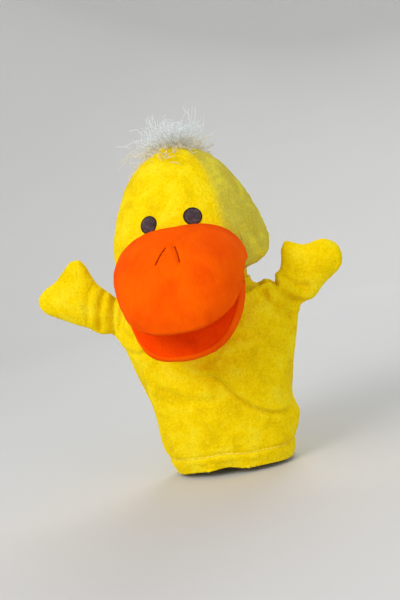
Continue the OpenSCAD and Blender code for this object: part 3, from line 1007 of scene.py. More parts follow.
@dataclass(frozen=True)
class Form:
    """The sizes that several sub-assemblies share, in millimetres and degrees."""

    neck_z: float = 132.0
    neck_y: float = -2.0
    neck_r: float = 34.0
    neck_gap: float = 0.5
    neck_edge_h: float = 6.2
    plush_t: float = 1.6
    crown_z: float = 228.0
    crown_r: float = 9.0
    head_half_w: float = 54.0
    head_half_d: float = 47.0
    head_y: float = -8.0
    hinge_y: float = -45.0
    hinge_z: float = 144.0
    bill_half_w: float = 41.0
    bill_l: float = 62.0
    bill_power: float = 2.5
    bill_rise: float = 30.0
    bill_corner_deg: float = 50.0
    bill_bulge: float = 4.0
    jaw_half_w: float = 39.0
    jaw_l: float = 55.0
    palate_deg: float = 31.0
    jaw_deg: float = 61.0
    upper_lean: float = 2.5
    lower_lean: float = -3.5
    wing_x: float = 74.5
    wing_z: float = 122.0
    wing_half_t: float = 8.0

    @property
    def sleeve_top(self) -> float:
        """Height of the sleeve's upper edge.

        Returns:
            The height.
        """
        return self.neck_z - self.neck_edge_h

    @property
    def head_bottom(self) -> float:
        """Height of the head's lower edge.

        Returns:
            The height.
        """
        return self.neck_z + self.neck_edge_h

    @property
    def corner_z(self) -> float:
        """Height of the bill's corners, just above the hinge.

        Returns:
            The height.
        """
        return self.hinge_z + 1

    @property
    def edge_r(self) -> float:
        """Outer radius of the cloth where sleeve and head meet the neck.

        Returns:
            The radius.
        """
        return self.neck_r + self.neck_gap + self.plush_t

    def round_neck(self, z: float) -> float:
        """The sleeve's half size that clears the neck at height z.

        Args:
            z: The height.

        Returns:
            The half size.
        """
        inside = max(self.neck_r ** 2 - (self.neck_z - z) ** 2, 0)
        return math.sqrt(inside) + 2 * self.neck_gap + self.plush_t

    def sleeve_stations(self) -> np.ndarray:
        """Rows up the sleeve: height, half width, half depth and middle in Y.

        Returns:
            The rows.
        """
        chest_z, chest_w, waist_z = 94.0, 64.5, 48.0
        drop = self.sleeve_top - chest_z
        yoke, shoulder = chest_z + drop * 0.58, chest_z + drop * 0.86
        rows = [
            [0, 43, 24, 0], [waist_z * 0.42, 49.2, 25.5, 0], [waist_z, 52.5, 27, 0],
            [chest_z, chest_w, 28, self.neck_y / 2],
            [yoke, chest_w - 2, self.round_neck(yoke) + self.neck_gap, self.neck_y],
            [shoulder, chest_w - 9, self.round_neck(shoulder) + self.neck_gap, self.neck_y],
            [self.sleeve_top, self.edge_r, self.edge_r, self.neck_y]]
        return through(rows, 40)

    def head_stations(self) -> np.ndarray:
        """Rows up the head: height, half width, half depth and middle in Y.

        Returns:
            The rows.
        """
        shares = [[0.030, 0.82, 0.90, 0.5], [0.085, 0.945, 0.96, 0.8], [0.18, 1, 1, 1],
                  [0.34, 0.96, 0.985, 1], [0.52, 0.865, 0.92, 0.9], [0.69, 0.73, 0.79, 0.75],
                  [0.83, 0.58, 0.64, 0.6], [0.925, 0.40, 0.45, 0.55], [0.975, 0.235, 0.27, 0.5]]
        rise, forward = self.crown_z - self.head_bottom, self.head_y - self.neck_y
        rows = [[self.head_bottom, self.edge_r, self.edge_r, self.neck_y]]
        rows += [[self.head_bottom + s[0] * rise, s[1] * self.head_half_w, s[2] * self.head_half_d,
                  self.neck_y + s[3] * forward] for s in shares]
        rows.append([self.crown_z, self.crown_r, self.crown_r, self.neck_y + 0.5 * forward])
        return through(rows, 40)

    def head_edge(self, a: np.ndarray) -> np.ndarray:
        """Height of the head's lower edge at angles a: it climbs over the bill in front.

        Args:
            a: Angles in degrees.

        Returns:
            The heights.
        """
        off = np.abs(np.asarray(a, float) - 270) / self.bill_corner_deg
        climb = np.clip(1 - off ** self.bill_power, 0, 1) ** (1 / self.bill_power)
        return np.where(off < 1, self.corner_z + self.bill_rise * climb, self.head_bottom)

    def head_points(self, a: np.ndarray, z: np.ndarray, grow: float = 0.0) -> np.ndarray:
        """Points on the head's surface.

        Args:
            a: Angles in degrees round the head, 270 in front.
            z: Heights, in the same shape.
            grow: How far outside the surface.

        Returns:
            The points, with one more axis of three.
        """
        table = self.head_stations()
        half_w, half_d, y = (np.interp(z, table[:, 0], table[:, k]) for k in (1, 2, 3))
        px, py = oval(half_w + grow, half_d + grow, a)
        return np.stack([px, y + py, z], -1)

    def mouth_point(self, side: np.ndarray, ahead: np.ndarray, up: np.ndarray,
                    deg: float) -> np.ndarray:
        """Points from the mouth's frame, whose plane slopes down by deg from the hinge.

        Args:
            side: Places across the mouth.
            ahead: Places along the plane, from the hinge.
            up: Heights over the plane.
            deg: The slope.

        Returns:
            The points, in the shared frame.
        """
        slope = math.radians(deg)
        lean = self.upper_lean if deg == self.palate_deg else self.lower_lean
        side = side + lean * np.clip(ahead / self.bill_l, 0, 1)
        return np.stack([side, self.hinge_y - ahead * math.cos(slope) - up * math.sin(slope),
                         self.hinge_z - ahead * math.sin(slope) + up * math.cos(slope)], -1)

    def upper_outline(self, a: np.ndarray, inset: float) -> tuple:
        """The upper lip's outline in the plane of the mouth: sideways and ahead.

        Args:
            a: Angles in degrees.
            inset: How far inside the full outline, in millimetres.

        Returns:
            Two arrays, sideways and ahead.
        """
        return oval(self.bill_half_w - inset, self.bill_l - inset, a, self.bill_power)

    def lower_outline(self, a: np.ndarray, inset: float) -> tuple:
        """The lower lip's outline in the plane of the mouth: sideways and ahead.

        Args:
            a: Angles in degrees.
            inset: How far inside the full outline, in millimetres.

        Returns:
            Two arrays, sideways and ahead.
        """
        return oval(self.jaw_half_w - inset, self.jaw_l - inset, a, self.bill_power)


# ---------------------------------------------------------------- sleeve and wings


@dataclass
class SleeveAndWings:
    """The glove's sleeve and the two stuffed wings, cut from one smooth plush skin."""

    form: Form
    voxel: float = 2.0
    below_hem: float = 8.0
    above_top: float = 14.0
    cover_top: float = 131.5
    split_x: float = 59.0
    stitch_z: float = 11.5
    puff_cap: float = 3.0

    LEFT = ((-34, -8), (-14, -16), (4, -18), (11, -11), (22, -5), (34, 2), (43, 7), (47, 16),
            (41, 24), (31, 29), (25, 35), (18, 42), (11, 43), (6, 38), (3, 28), (-3, 20),
            (-16, 10), (-34, 4))
    RIGHT = ((-34, -8), (-14, -17), (3, -19), (10, -10), (18, -4), (25, 1.5), (29, 10), (27, 19),
             (18, 25), (8, 24), (1, 27), (-5, 32), (-11, 31), (-13.5, 21), (-14, 12), (-22, 6),
             (-34, 4))

    CREASES = (
        Crease(((-14, 74), (4, 70), (14, 58), (24, 46), (38, 38), (53, 37)), 2.6, 1.8, 2.4),
        Crease(((-30, 88), (0, 83), (30, 84), (60, 76)), 1.0, 3.2, 0.9),
        Crease(((18, 97), (40, 95), (64, 88)), 1.1, 2.6, 0.9),
        Crease(((40, 132), (46, 118), (54, 106), (66, 97)), 2.2, 2.0, 1.8),
        Crease(((50, 133), (55, 121), (64, 111), (76, 106)), 2.2, 1.8, 1.6),
        Crease(((58, 128), (66, 121), (78, 117)), 1.2, 1.8, 0.9),
        Crease(((-52, 134), (-56, 118), (-62, 102)), 1.9, 2.0, 1.3),
        Crease(((-60, 138), (-65, 120), (-69, 104)), 2.3, 1.9, 1.5),
        Crease(((-67, 142), (-73, 126), (-77, 110)), 1.7, 1.9, 1.2),
        Crease(((-75, 146), (-81, 132), (-84, 116)), 1.0, 2.2, 0.6),
        Crease(((-64, 98), (-48, 93), (-34, 94)), 1.4, 2.2, 1.0),
        Crease(((-40, 70), (-20, 58), (4, 54)), 0.8, 3.0, 0.8),
        Crease(((96, 132), (93, 122), (86, 114)), 1.0, 2.2, 0.8),
        Crease(((-100, 148), (-92, 136), (-88, 128)), 0.7, 2.4, 0.6),
        Crease(((-50, 134), (-58, 118), (-64, 102)), 1.8, 2.2, 1.3, Face.BACK),
        Crease(((-60, 140), (-68, 122), (-72, 106)), 2.0, 2.2, 1.3, Face.BACK),
        Crease(((50, 132), (56, 118), (66, 104)), 2.0, 2.2, 1.4, Face.BACK),
        Crease(((-30, 60), (-6, 68), (20, 64), (46, 72)), 1.6, 3.0, 1.3, Face.BACK),
        Crease(((-50, 40), (-20, 34), (16, 40)), 1.2, 3.2, 1.0, Face.BACK),
        Crease(((-46, 92), (-10, 98), (30, 92)), 1.0, 3.4, 0.9, Face.BACK))
    LUMPS = (Lump((54, 0, 31), 10, 3.2), Lump((52, 0, 45), 7, -1.6), Lump((48, 0, 12), 8, -1.5),
             Lump((-36, -6, 3), 9, -2.5), Lump((30, -26, 60), 20, 1.6),
             Lump((-6, -26, 30), 22, 1.4), Lump((40, -22, 104), 16, 1.5),
             Lump((-26, -26, 52), 18, -0.9),
             Lump((10, 28, 50), 24, 1.5), Lump((-105, -2, 132), 14, 0.8))

    def solid_sleeve(self) -> bpy.types.Object:
        """The sleeve as a closed solid, longer at both ends than the cloth is.

        Returns:
            The solid.
        """
        table = self.form.sleeve_stations()
        heights = np.concatenate([[-self.below_hem], np.linspace(0, self.form.sleeve_top, 70),
                                  [self.form.neck_z + self.above_top]])
        around = np.linspace(0, 360, 161)[:-1]
        rings = []
        for z in heights:
            half_w, half_d, y = (float(np.interp(z, table[:, 0], table[:, k])) for k in (1, 2, 3))
            power = 2.2 - 0.2 * min(max(z / self.form.sleeve_top, 0), 1)
            px, py = oval(half_w, half_d, around, power)
            rings.append(np.stack([px, y + py, np.full_like(px, z)], -1))
        return closed_piece("sleeve_solid", np.array(rings))

    def solid_wing(self, outline: tuple, side: int) -> bpy.types.Object:
        """A wing as a closed pillow.

        Args:
            outline: Points outwards and up from the flapping axis.
            side: -1 for the viewer's left, 1 for the right.

        Returns:
            The solid.
        """
        form = self.form
        edge = through(list(outline), 6, closed=True)
        middle = np.array([2.0, 6.0]) if side < 0 else np.array([-2.0, 2.0])
        tilt = np.linspace(-90, 90, 15)[1:-1]
        rings = []
        for t in tilt:
            s, puff = math.cos(math.radians(t)), form.wing_half_t * math.sin(math.radians(t))
            q = middle + (edge - middle) * s ** 0.8
            rings.append(np.stack([side * (form.wing_x + q[:, 0]),
                                   np.full(len(q), form.neck_y + puff),
                                   form.wing_z + q[:, 1]], -1))
        return closed_piece("wing_solid", np.array(rings))

    def one_skin(self) -> bpy.types.Object:
        """Joins the three solids into one, with smooth hollows at the wings' roots.

        Returns:
            The fused skin.
        """
        parts = [self.solid_sleeve(), self.solid_wing(self.LEFT, -1),
                 self.solid_wing(self.RIGHT, 1)]
        joined = bmesh.new()
        for part in parts:
            mesh = part.data.copy()
            single = bmesh.new()
            single.from_mesh(mesh)
            bmesh.ops.triangulate(single, faces=[f for f in single.faces if len(f.verts) > 4])
            bmesh.ops.recalc_face_normals(single, faces=single.faces)
            single.to_mesh(mesh)
            single.free()
            joined.from_mesh(mesh)
            bpy.data.meshes.remove(mesh)
            bpy.data.objects.remove(part)
        mesh = bpy.data.meshes.new("sleeve_and_wings")
        joined.to_mesh(mesh)
        joined.free()
        skin = bpy.data.objects.new("sleeve_and_wings", mesh)
        bpy.context.scene.collection.objects.link(skin)
        fuse = skin.modifiers.new("fuse", "REMESH")
        fuse.mode = "VOXEL"
        fuse.voxel_size = self.voxel * MM
        settle(skin)
        p = get_points(skin)
        root = smooth_step(np.abs(p[:, 0]), 44, 54) * (1 - smooth_step(np.abs(p[:, 0]), 76, 86))
        root *= smooth_step(p[:, 2], 80, 96)
        relax(skin, 0.25 + 0.45 * root, 6)
        relax(skin, 0.6 * root, 26)
        return skin

    def puff_up(self, skin: bpy.types.Object) -> None:
        """Fills a cover cut a little too large with pressure, in a short simulation.

        Args:
            skin: The fused skin.
        """
        before = get_points(skin)
        held = skin.vertex_groups.new(name="held")
        still = (before[:, 2] < 6) | (before[:, 2] > 124) & (np.abs(before[:, 0]) < 48)
        held.add(np.nonzero(still)[0].tolist(), 1.0, "REPLACE")
        cloth = skin.modifiers.new("cloth", "CLOTH")
        settings = cloth.settings
        settings.quality = 6
        settings.mass = 0.2
        settings.use_pressure = True
        settings.uniform_pressure_force = 4.0
        settings.shrink_min = -0.06
        settings.tension_stiffness = 12
        settings.compression_stiffness = 12
        settings.bending_stiffness = 0.35
        settings.vertex_group_mass = "held"
        settings.effector_weights.gravity = 0
        cloth.collision_settings.use_collision = False
        scene = bpy.context.scene
        cloth.point_cache.frame_start, cloth.point_cache.frame_end = 1, 20
        for step in range(1, 21):
            scene.frame_set(step)
        settle(skin)
        scene.frame_set(1)
        move = get_points(skin) - before
        length = np.linalg.norm(move, axis=1)[:, None]
        cap = self.puff_cap * (1 - 0.5 * smooth_step(-before[:, 2], -60, -20))[:, None]
        move *= np.minimum(1, cap / np.maximum(length, 1e-6))
        set_points(skin, before + move)
        skin.vertex_groups.clear()

    def fold(self, skin: bpy.types.Object) -> None:
        """Presses the creases, lumps and hem line into the skin, and paints shade into the grooves.

        Args:
            skin: The fused skin.
        """
        p, n = get_points(skin), get_normals(skin)
        lift = sum(c.lift(p, n) for c in self.CREASES) + sum(k.lift(p) for k in self.LUMPS)
        lift += 0.35 * noise(p, 26, 3) + 0.16 * noise(p, 9, 4)
        on_hem = np.abs(p[:, 0]) < 60
        lift -= np.where(on_hem, 0.9 * mound(p[:, 2] - self.stitch_z, 1.5), 0)
        lift += np.where(on_hem, 0.7 * mound(p[:, 2] - self.stitch_z * 0.45, 4.0), 0)
        # Painted shade: the colour darkens where a groove presses in deeper than 0.7 mm.
        shade = np.clip(-lift - 0.7, 0, 2.0) / 2.0 * 0.5
        p += n * lift[:, None]
        p[:, 2] += self.hem_wave(p)
        set_points(skin, p)
        number_on_points(skin, "shade", shade)

    def hem_wave(self, p: np.ndarray) -> np.ndarray:
        """How far the cloth near the hem is drawn up: more in front, with slow waves.

        Args:
            p: Points in millimetres.

        Returns:
            The rise of each point.
        """
        a = np.arctan2(p[:, 1], p[:, 0])
        wave = 2.6 - 2.4 * np.sin(a) + 0.9 * np.sin(3 * a + 0.6) + 0.45 * np.sin(7 * a)
        return np.clip(wave, 0.2, None) * (1 - smooth_step(p[:, 2], 2, 40))

    def cut(self, skin: bpy.types.Object) -> None:
        """Opens the skin at the hem and over the neck.

        Args:
            skin: The fused skin.
        """
        shape = bmesh.new()
        shape.from_mesh(skin.data)
        for height, side in ((0.0, -1), (self.cover_top, 1)):
            bmesh.ops.bisect_plane(
                shape, geom=shape.verts[:] + shape.edges[:] + shape.faces[:], dist=1e-6,
                plane_co=(0, 0, height * MM), plane_no=(0, 0, side))
        lost = []
        for face in shape.faces:
            c = face.calc_center_median() / MM
            if c.z < 0 or c.z > self.cover_top and abs(c.x) < 48:
                lost.append(face)
        bmesh.ops.delete(shape, geom=lost, context="FACES")
        shape.to_mesh(skin.data)
        shape.free()
        skin.data.shade_smooth()

    def part_of(self, skin: bpy.types.Object, name: str, low: float,
                high: float) -> bpy.types.Object:
        """A copy of the skin's stretch between two values of x, with the whole skin's normals.

        Args:
            skin: The whole skin.
            name: The new piece's name.
            low: Least x.
            high: Greatest x.

        Returns:
            The piece.
        """
        p, n = get_points(skin), get_normals(skin)
        shape = bmesh.new()
        shape.from_mesh(skin.data)
        shape.verts.ensure_lookup_table()
        mark = shape.verts.layers.int.new("whole_skin")
        for vertex in shape.verts:
            vertex[mark] = vertex.index
        lost = [f for f in shape.faces if not low < f.calc_center_median().x / MM <= high]
        bmesh.ops.delete(shape, geom=lost, context="FACES")
        open_edges = [e for e in shape.edges if e.is_boundary]
        for sign in (-1, 1):
            rim = [e for e in open_edges if sign * (e.verts[0].co.x + e.verts[1].co.x) > 0]
            if rim:
                bmesh.ops.bridge_loops(shape, edges=rim)
        mesh = bpy.data.meshes.new(name)
        shape.to_mesh(mesh)
        shape.free()
        piece = bpy.data.objects.new(name, mesh)
        bpy.context.scene.collection.objects.link(piece)
        index = np.zeros(len(mesh.vertices), np.int32)
        mesh.attributes["whole_skin"].data.foreach_get("value", index)
        mesh.attributes.remove(mesh.attributes["whole_skin"])
        assert len(p) > index.max()
        mesh.shade_smooth()
        mesh.normals_split_custom_set_from_vertices(n[index].tolist())
        return piece

    def build(self) -> None:
        """Makes the sleeve, the wings and the hem's stitches."""
        form = self.form
        skin = self.one_skin()
        self.puff_up(skin)
        refine(skin)
        self.cut(skin)
        self.fold(skin)
        thicken(skin, form.plush_t)
        sleeve = self.part_of(skin, "sleeve_cloth", -self.split_x, self.split_x)
        left = self.part_of(skin, "left_wing_cloth", -500, -self.split_x)
        right = self.part_of(skin, "right_wing_cloth", self.split_x, 500)
        bpy.data.objects.remove(skin)
        for piece in (sleeve, left, right):
            dress(piece, YELLOW_PLUSH)
            done(piece)
        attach(sleeve, "sleeve")
        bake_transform(left)
        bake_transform(right)
        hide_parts("body_front_panel", "body_back_panel")
        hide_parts("left_wing_front", "left_wing_back", "left_wing_stuffing")
        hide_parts("right_wing_front", "right_wing_back", "right_wing_stuffing")
        self.hem(sleeve)

    def hem(self, sleeve: bpy.types.Object) -> None:
        """The band turned up inside the hem, and the row of stitches that holds it.

        Args:
            sleeve: The finished sleeve, whose surface the stitches lie on.
        """
        form = self.form
        table = form.sleeve_stations()
        around = np.linspace(0, 360, 241)[:-1]

        def ring(z: float, inset: float) -> np.ndarray:
            """One level line of the sleeve.

            Args:
                z: Its height.
                inset: How far it lies inside the sleeve's outline.

            Returns:
                The line's points.
            """
            half_w, half_d, y = (float(np.interp(z, table[:, 0], table[:, k])) for k in (1, 2, 3))
            px, py = oval(half_w - inset, half_d - inset, around, 2.2)
            return np.stack([px, y + py, np.full_like(px, z)], -1)

        inset = form.plush_t + 0.3
        grid = np.array([ring(z, inset + 0.5 * math.sin(z)) for z in np.linspace(0.4, 10.5, 9)])
        flat = grid.reshape(-1, 3)
        for lump in self.LUMPS:
            radial = flat * [1, 1, 0] / np.linalg.norm(flat[:, :2], axis=1)[:, None]
            flat += radial * lump.lift(flat)[:, None]
        flat[:, 2] += self.hem_wave(flat)
        band = sheet_piece("hem_band_cloth", flat.reshape(grid.shape), wrap=True)
        face_outwards(band, (0, 0, 5))
        thicken(band, 1.0)
        dress(band, YELLOW_PLUSH)
        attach(band, "sleeve")
        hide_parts("hem_band")
        done(band)

        bpy.context.evaluated_depsgraph_get().update()
        path = ring(self.stitch_z, -12)
        path[:, 2] += self.hem_wave(path) - 0.2
        line = []
        for q in path:
            inward = Vector((-q[0], -q[1], 0)).normalized()
            hit, spot, normal, _ = sleeve.ray_cast(Vector(q * MM), inward)
            if hit:
                line.append(np.array(spot) / MM + np.array(normal) * 0.15)
        count = len(line)
        stitches = new_piece("hem_stitches", np.array(line), [],
                             [(i, (i + 1) % count) for i in range(count)])
        StitchTree().grow(stitches, {"Pitch": 0.0030, "Length": 0.0026, "Radius": 0.00034},
                          YELLOW_THREAD)
        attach(stitches, "sleeve")
        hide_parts("hem_stitching")
        done(stitches)


# ---------------------------------------------------------------- neck


@dataclass
class Neck:
    """The plush between sleeve and head."""

    form: Form
    low_z: float = 120.0
    high_z: float = 141.0

    def build(self) -> None:
        """Makes the neck's ring and the throat that climbs to the mouth's hinge."""
        form = self.form
        around = np.linspace(0, 360, 181)[:-1]
        front = mound(around - 270, 34)
        rows = []
        for t in np.linspace(0, 1, 20):
            z = self.low_z + (self.high_z - self.low_z) * t + front * 1.5 * t
            r = form.edge_r - 0.9 - 0.8 * math.sin(math.pi * t)
            px, py = oval(r, r, around)
            forward = front * 9.0 * t ** 2
            rows.append(np.stack([px, form.neck_y + py - forward, z], -1))
        neck = sheet_piece("neck_cloth", np.array(rows), wrap=True)
        face_outwards(neck, (0, 0, 130))
        thicken(neck, 1.4)
        dress(neck, YELLOW_PLUSH)
        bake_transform(neck)
        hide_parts("neck_sleeve")
        done(neck)


# ---------------------------------------------------------------- head


@dataclass
class Head:
    """Face and back covers, eyes and the tuft."""

    form: Form
    rows: int = 70
    cols: int = 200
    tuck: float = 3.5
    seam_w: float = 1.6
    eye_deg: float = 17.5
    eye_z: float = 179.0
    eye_r: float = 5.2

    CREASES = (
        Crease(((50, 166), (50, 150), (42, 140), (30, 136)), 1.8, 1.7, 1.6),
        Crease(((47, 160), (44, 149), (36, 143)), 0.9, 1.8, 0.7),
        Crease(((46, 196), (51, 176), (50, 158)), 0.5, 2.4, 0.4),
        Crease(((38, 206), (43, 188), (45, 168)), 0.45, 2.4, 0.35),
        Crease(((-52, 168), (-50, 152), (-42, 141)), 1.0, 2.4, 0.8),
        Crease(((-40, 165), (-10, 172), (24, 166)), 0.8, 4.0, 0.6, Face.BACK),
        Crease(((-34, 146), (0, 151), (34, 145)), 1.2, 3.0, 1.0, Face.BACK))
    LUMPS = (Lump((30, -34, 200), 22, 0.9), Lump((-28, -34, 196), 22, 0.8),
             Lump((50, -8, 160), 18, 1.2), Lump((0, -30, 216), 12, -0.7),
             Lump((0, 30, 185), 28, 0.9))

    def cover_points(self, a: np.ndarray) -> np.ndarray:
        """The head's surface between its lower edge and its crown, at angles a.

        Args:
            a: Angles in degrees.

        Returns:
            Rows of points.
        """
        form = self.form
        low = form.head_edge(a) - self.tuck * (np.abs(a - 270) < form.bill_corner_deg + 4)
        share = np.sin(np.radians(90 * np.linspace(0, 1, self.rows)))[:, None]
        z = low[None, :] + (form.crown_z - low[None, :]) * share
        table = form.head_stations()
        half_w, half_d, y = (np.interp(z, table[:, 0], table[:, k]) for k in (1, 2, 3))
        px, py = oval(half_w, half_d, np.broadcast_to(a, z.shape))
        return np.stack([px, y + py, z], -1)

    def cover(self, name: str, start: float, end: float) -> bpy.types.Object:
        """One cover panel, rolled in at its seams, with its folds, painted shade in its grooves and
        painted shade on the head's right side.

        Args:
            name: The piece's name.
            start: First angle.
            end: Last angle.

        Returns:
            The piece.
        """
        a = np.linspace(start, end, self.cols)
        grid = self.cover_points(a)
        piece = sheet_piece(name, grid)
        face_outwards(piece, (0, self.form.head_y, 180))
        p, n = get_points(piece), get_normals(piece)
        lift = sum(c.lift(p, n) for c in self.CREASES) + sum(k.lift(p) for k in self.LUMPS)
        lift += 0.4 * noise(p, 24, 11) + 0.14 * noise(p, 8, 12)
        arc = np.radians(np.tile(np.minimum(a - start, end - a), self.rows)) * self.form.head_half_w
        lift -= 1.1 * mound(arc, self.seam_w)
        folds = 0.35 * np.sin(p[:, 2] * 0.9 + 2 * np.sin(p[:, 2] * 0.23)) * mound(arc, 6)
        lift += folds * smooth_step(arc, 0.5, 2)
        p += n * lift[:, None]
        set_points(piece, p)
        # Painted shade: the colour darkens where seams and creases press in.
        shade = np.clip(-lift - 0.5, 0, 1.6) / 1.6 * 0.45
        number_on_points(piece, "shade", shade)
        # Painted shade on the head's right side, strongest where it turns furthest from the front.
        bearing = np.degrees(np.arctan2(p[:, 1] - self.form.head_y, p[:, 0])) + 90
        turn = np.abs((bearing + 180) % 360 - 180)
        border = 42 + 8 * (p[:, 2] - 180) / 50
        side_shade_and_root_tint = smooth_step(turn, border - 5, border + 7) * smooth_step(p[:, 0], 0, 20) * 0.9
        number_on_points(piece, "side_shade_and_root_tint", side_shade_and_root_tint)
        thicken(piece, self.form.plush_t)
        dress(piece, YELLOW_PLUSH)
        return piece

    def surface(self, side: float, up: float, centre_deg: float, grow: float) -> np.ndarray:
        """A point of the head near an eye, from offsets along the surface.

        Args:
            side: Offset sideways.
            up: Offset upwards.
            centre_deg: The eye's angle from the front.
            grow: Distance over the surface.

        Returns:
            The point.
        """
        form = self.form
        z = self.eye_z + up
        table = form.head_stations()
        half_w = float(np.interp(z, table[:, 0], table[:, 1]))
        half_d = float(np.interp(z, table[:, 0], table[:, 2]))
        radius = math.hypot(half_w * math.sin(math.radians(centre_deg)),
                            half_d * math.cos(math.radians(centre_deg)))
        a = 270 + centre_deg + math.degrees(side / radius)
        return form.head_points(np.array(a), np.array(z), grow)

    def eye(self, name: str, side: int, node: str) -> None:
        """A satin stitched disc with a dark outline.

        Args:
            name: The piece's name.
            side: -1 or 1.
            node: The CAD node that the eye stands for.
        """
        middle = side * self.eye_deg
        count, steps = 15, 8
        points, edges = [], []
        for i in range(count):
            x = (i + 0.5) / count * 2 - 1
            half = math.sqrt(1 - x * x) * self.eye_r * 0.93
            for k in range(steps):
                up = half * (2 * k / (steps - 1) - 1)
                puff = 0.75 * math.sqrt(max(1 - x * x - (up / self.eye_r) ** 2, 0)) + 0.15
                if k:
                    edges.append((len(points) - 1, len(points)))
                points.append(self.surface(x * self.eye_r * 0.93, up, middle, puff))
        fill = new_piece(name, np.array(points), [], edges)
        ThreadTree().grow(fill, {"Radius": 0.00042, "Sides": 6}, EYE_THREAD)
        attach(fill, "head")
        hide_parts(node)
        done(fill)
        turns = 64
        ring = [self.surface(self.eye_r * math.cos(2 * math.pi * i / turns),
                             self.eye_r * math.sin(2 * math.pi * i / turns), middle, 0.35)
                for i in range(turns)]
        outline = new_piece(name + "_outline", np.array(ring), [],
                            [(i, (i + 1) % turns) for i in range(turns)])
        StitchTree().grow(outline, {"Pitch": 0.0011, "Length": 0.0019, "Radius": 0.00052},
                          EYE_OUTLINE)
        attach(outline, "head")
        done(outline)

    def tuft(self) -> None:
        """The cream base on the crown and the fibres that stand on it."""
        form = self.form
        middle_y = form.neck_y + 0.5 * (form.head_y - form.neck_y)
        around = np.linspace(0, 360, 49)[:-1]
        rings = []
        for t in np.linspace(0, 1, 10):
            r = (form.crown_r + 1.8) * math.cos(math.radians(88 * t)) ** 0.7
            z = form.crown_z - 3 + 5.5 * math.sin(math.radians(90 * t))
            px, py = oval(r, r, around)
            uneven = 1 + 0.05 * np.sin(np.radians(around * 5)) * (1 - t)
            rings.append(np.stack([px * uneven, middle_y + py * uneven, np.full_like(px, z)], -1))
        base = closed_piece("tuft_base_pad", np.array(rings))
        face_outwards(base, (0, middle_y, form.crown_z - 2))
        patch = base.copy()
        patch.data = base.data.copy()
        patch.name = "tuft_strands"
        bpy.context.scene.collection.objects.link(patch)
        dress(base, TUFT_BASE)
        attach(base, "head")
        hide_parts("tuft_base")
        done(base)
        TuftTree().grow(patch, {"Count Density": 6.5e5, "Length": 0.0255, "Splay": 0.95,
                                "Curl": 0.042, "Radius": 0.0002, "Seed": 5}, TUFT_FIBRE)
        p = get_points(patch)
        # Tints the fibres towards cream at the crown, fading over 7 mm above it.
        low = smooth_step(-(p[:, 2] - form.crown_z), -7, 0)
        number_on_points(patch, "side_shade_and_root_tint", low * 0.8)
        p[:, 2] = np.minimum(p[:, 2], form.crown_z + 25)
        set_points(patch, p)
        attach(patch, "head")
        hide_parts("tuft_fibres")
        done(patch)

    def lining(self) -> None:
        """The thin lining of the head's hand pocket, a soft dome."""
        form = self.form
        around = np.linspace(90, 450, 97)[:-1]
        near = 9.2
        low = np.maximum(form.head_edge(around), form.neck_z + 30)
        rows = []
        for t in np.linspace(0, 1, 24):
            z = low + (form.crown_z - near - 2 - low) * math.sin(math.radians(90 * t))
            rows.append(form.head_points(around, z, -near))
        grid = np.array(rows)
        flat = grid.reshape(-1, 3)
        flat += (0.6 * noise(flat, 22, 21))[:, None] * [0.7, 0.7, 0.1]
        piece = sheet_piece("head_pocket_lining", flat.reshape(grid.shape), wrap=True)
        face_outwards(piece, (0, form.head_y, 180))
        thicken(piece, 1.0)
        dress(piece, POCKET_CLOTH)
        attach(piece, "head")
        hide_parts("head_lining")
        done(piece)

    def build(self) -> None:
        """Makes every piece of the head above the bill."""
        face = self.cover("face_cover", 180, 360)
        back = self.cover("head_back_cover", 0, 180)
        for piece, nodes in ((face, ("face_panel", "head_stuffing")), (back, ("head_back_panel",))):
            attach(piece, "head")
            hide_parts(*nodes)
            done(piece)
        self.eye("eye_left_stitching", -1, "eye_left")
        self.eye("eye_right_stitching", 1, "eye_right")
        self.tuft()
        self.lining()


# ---------------------------------------------------------------- bill


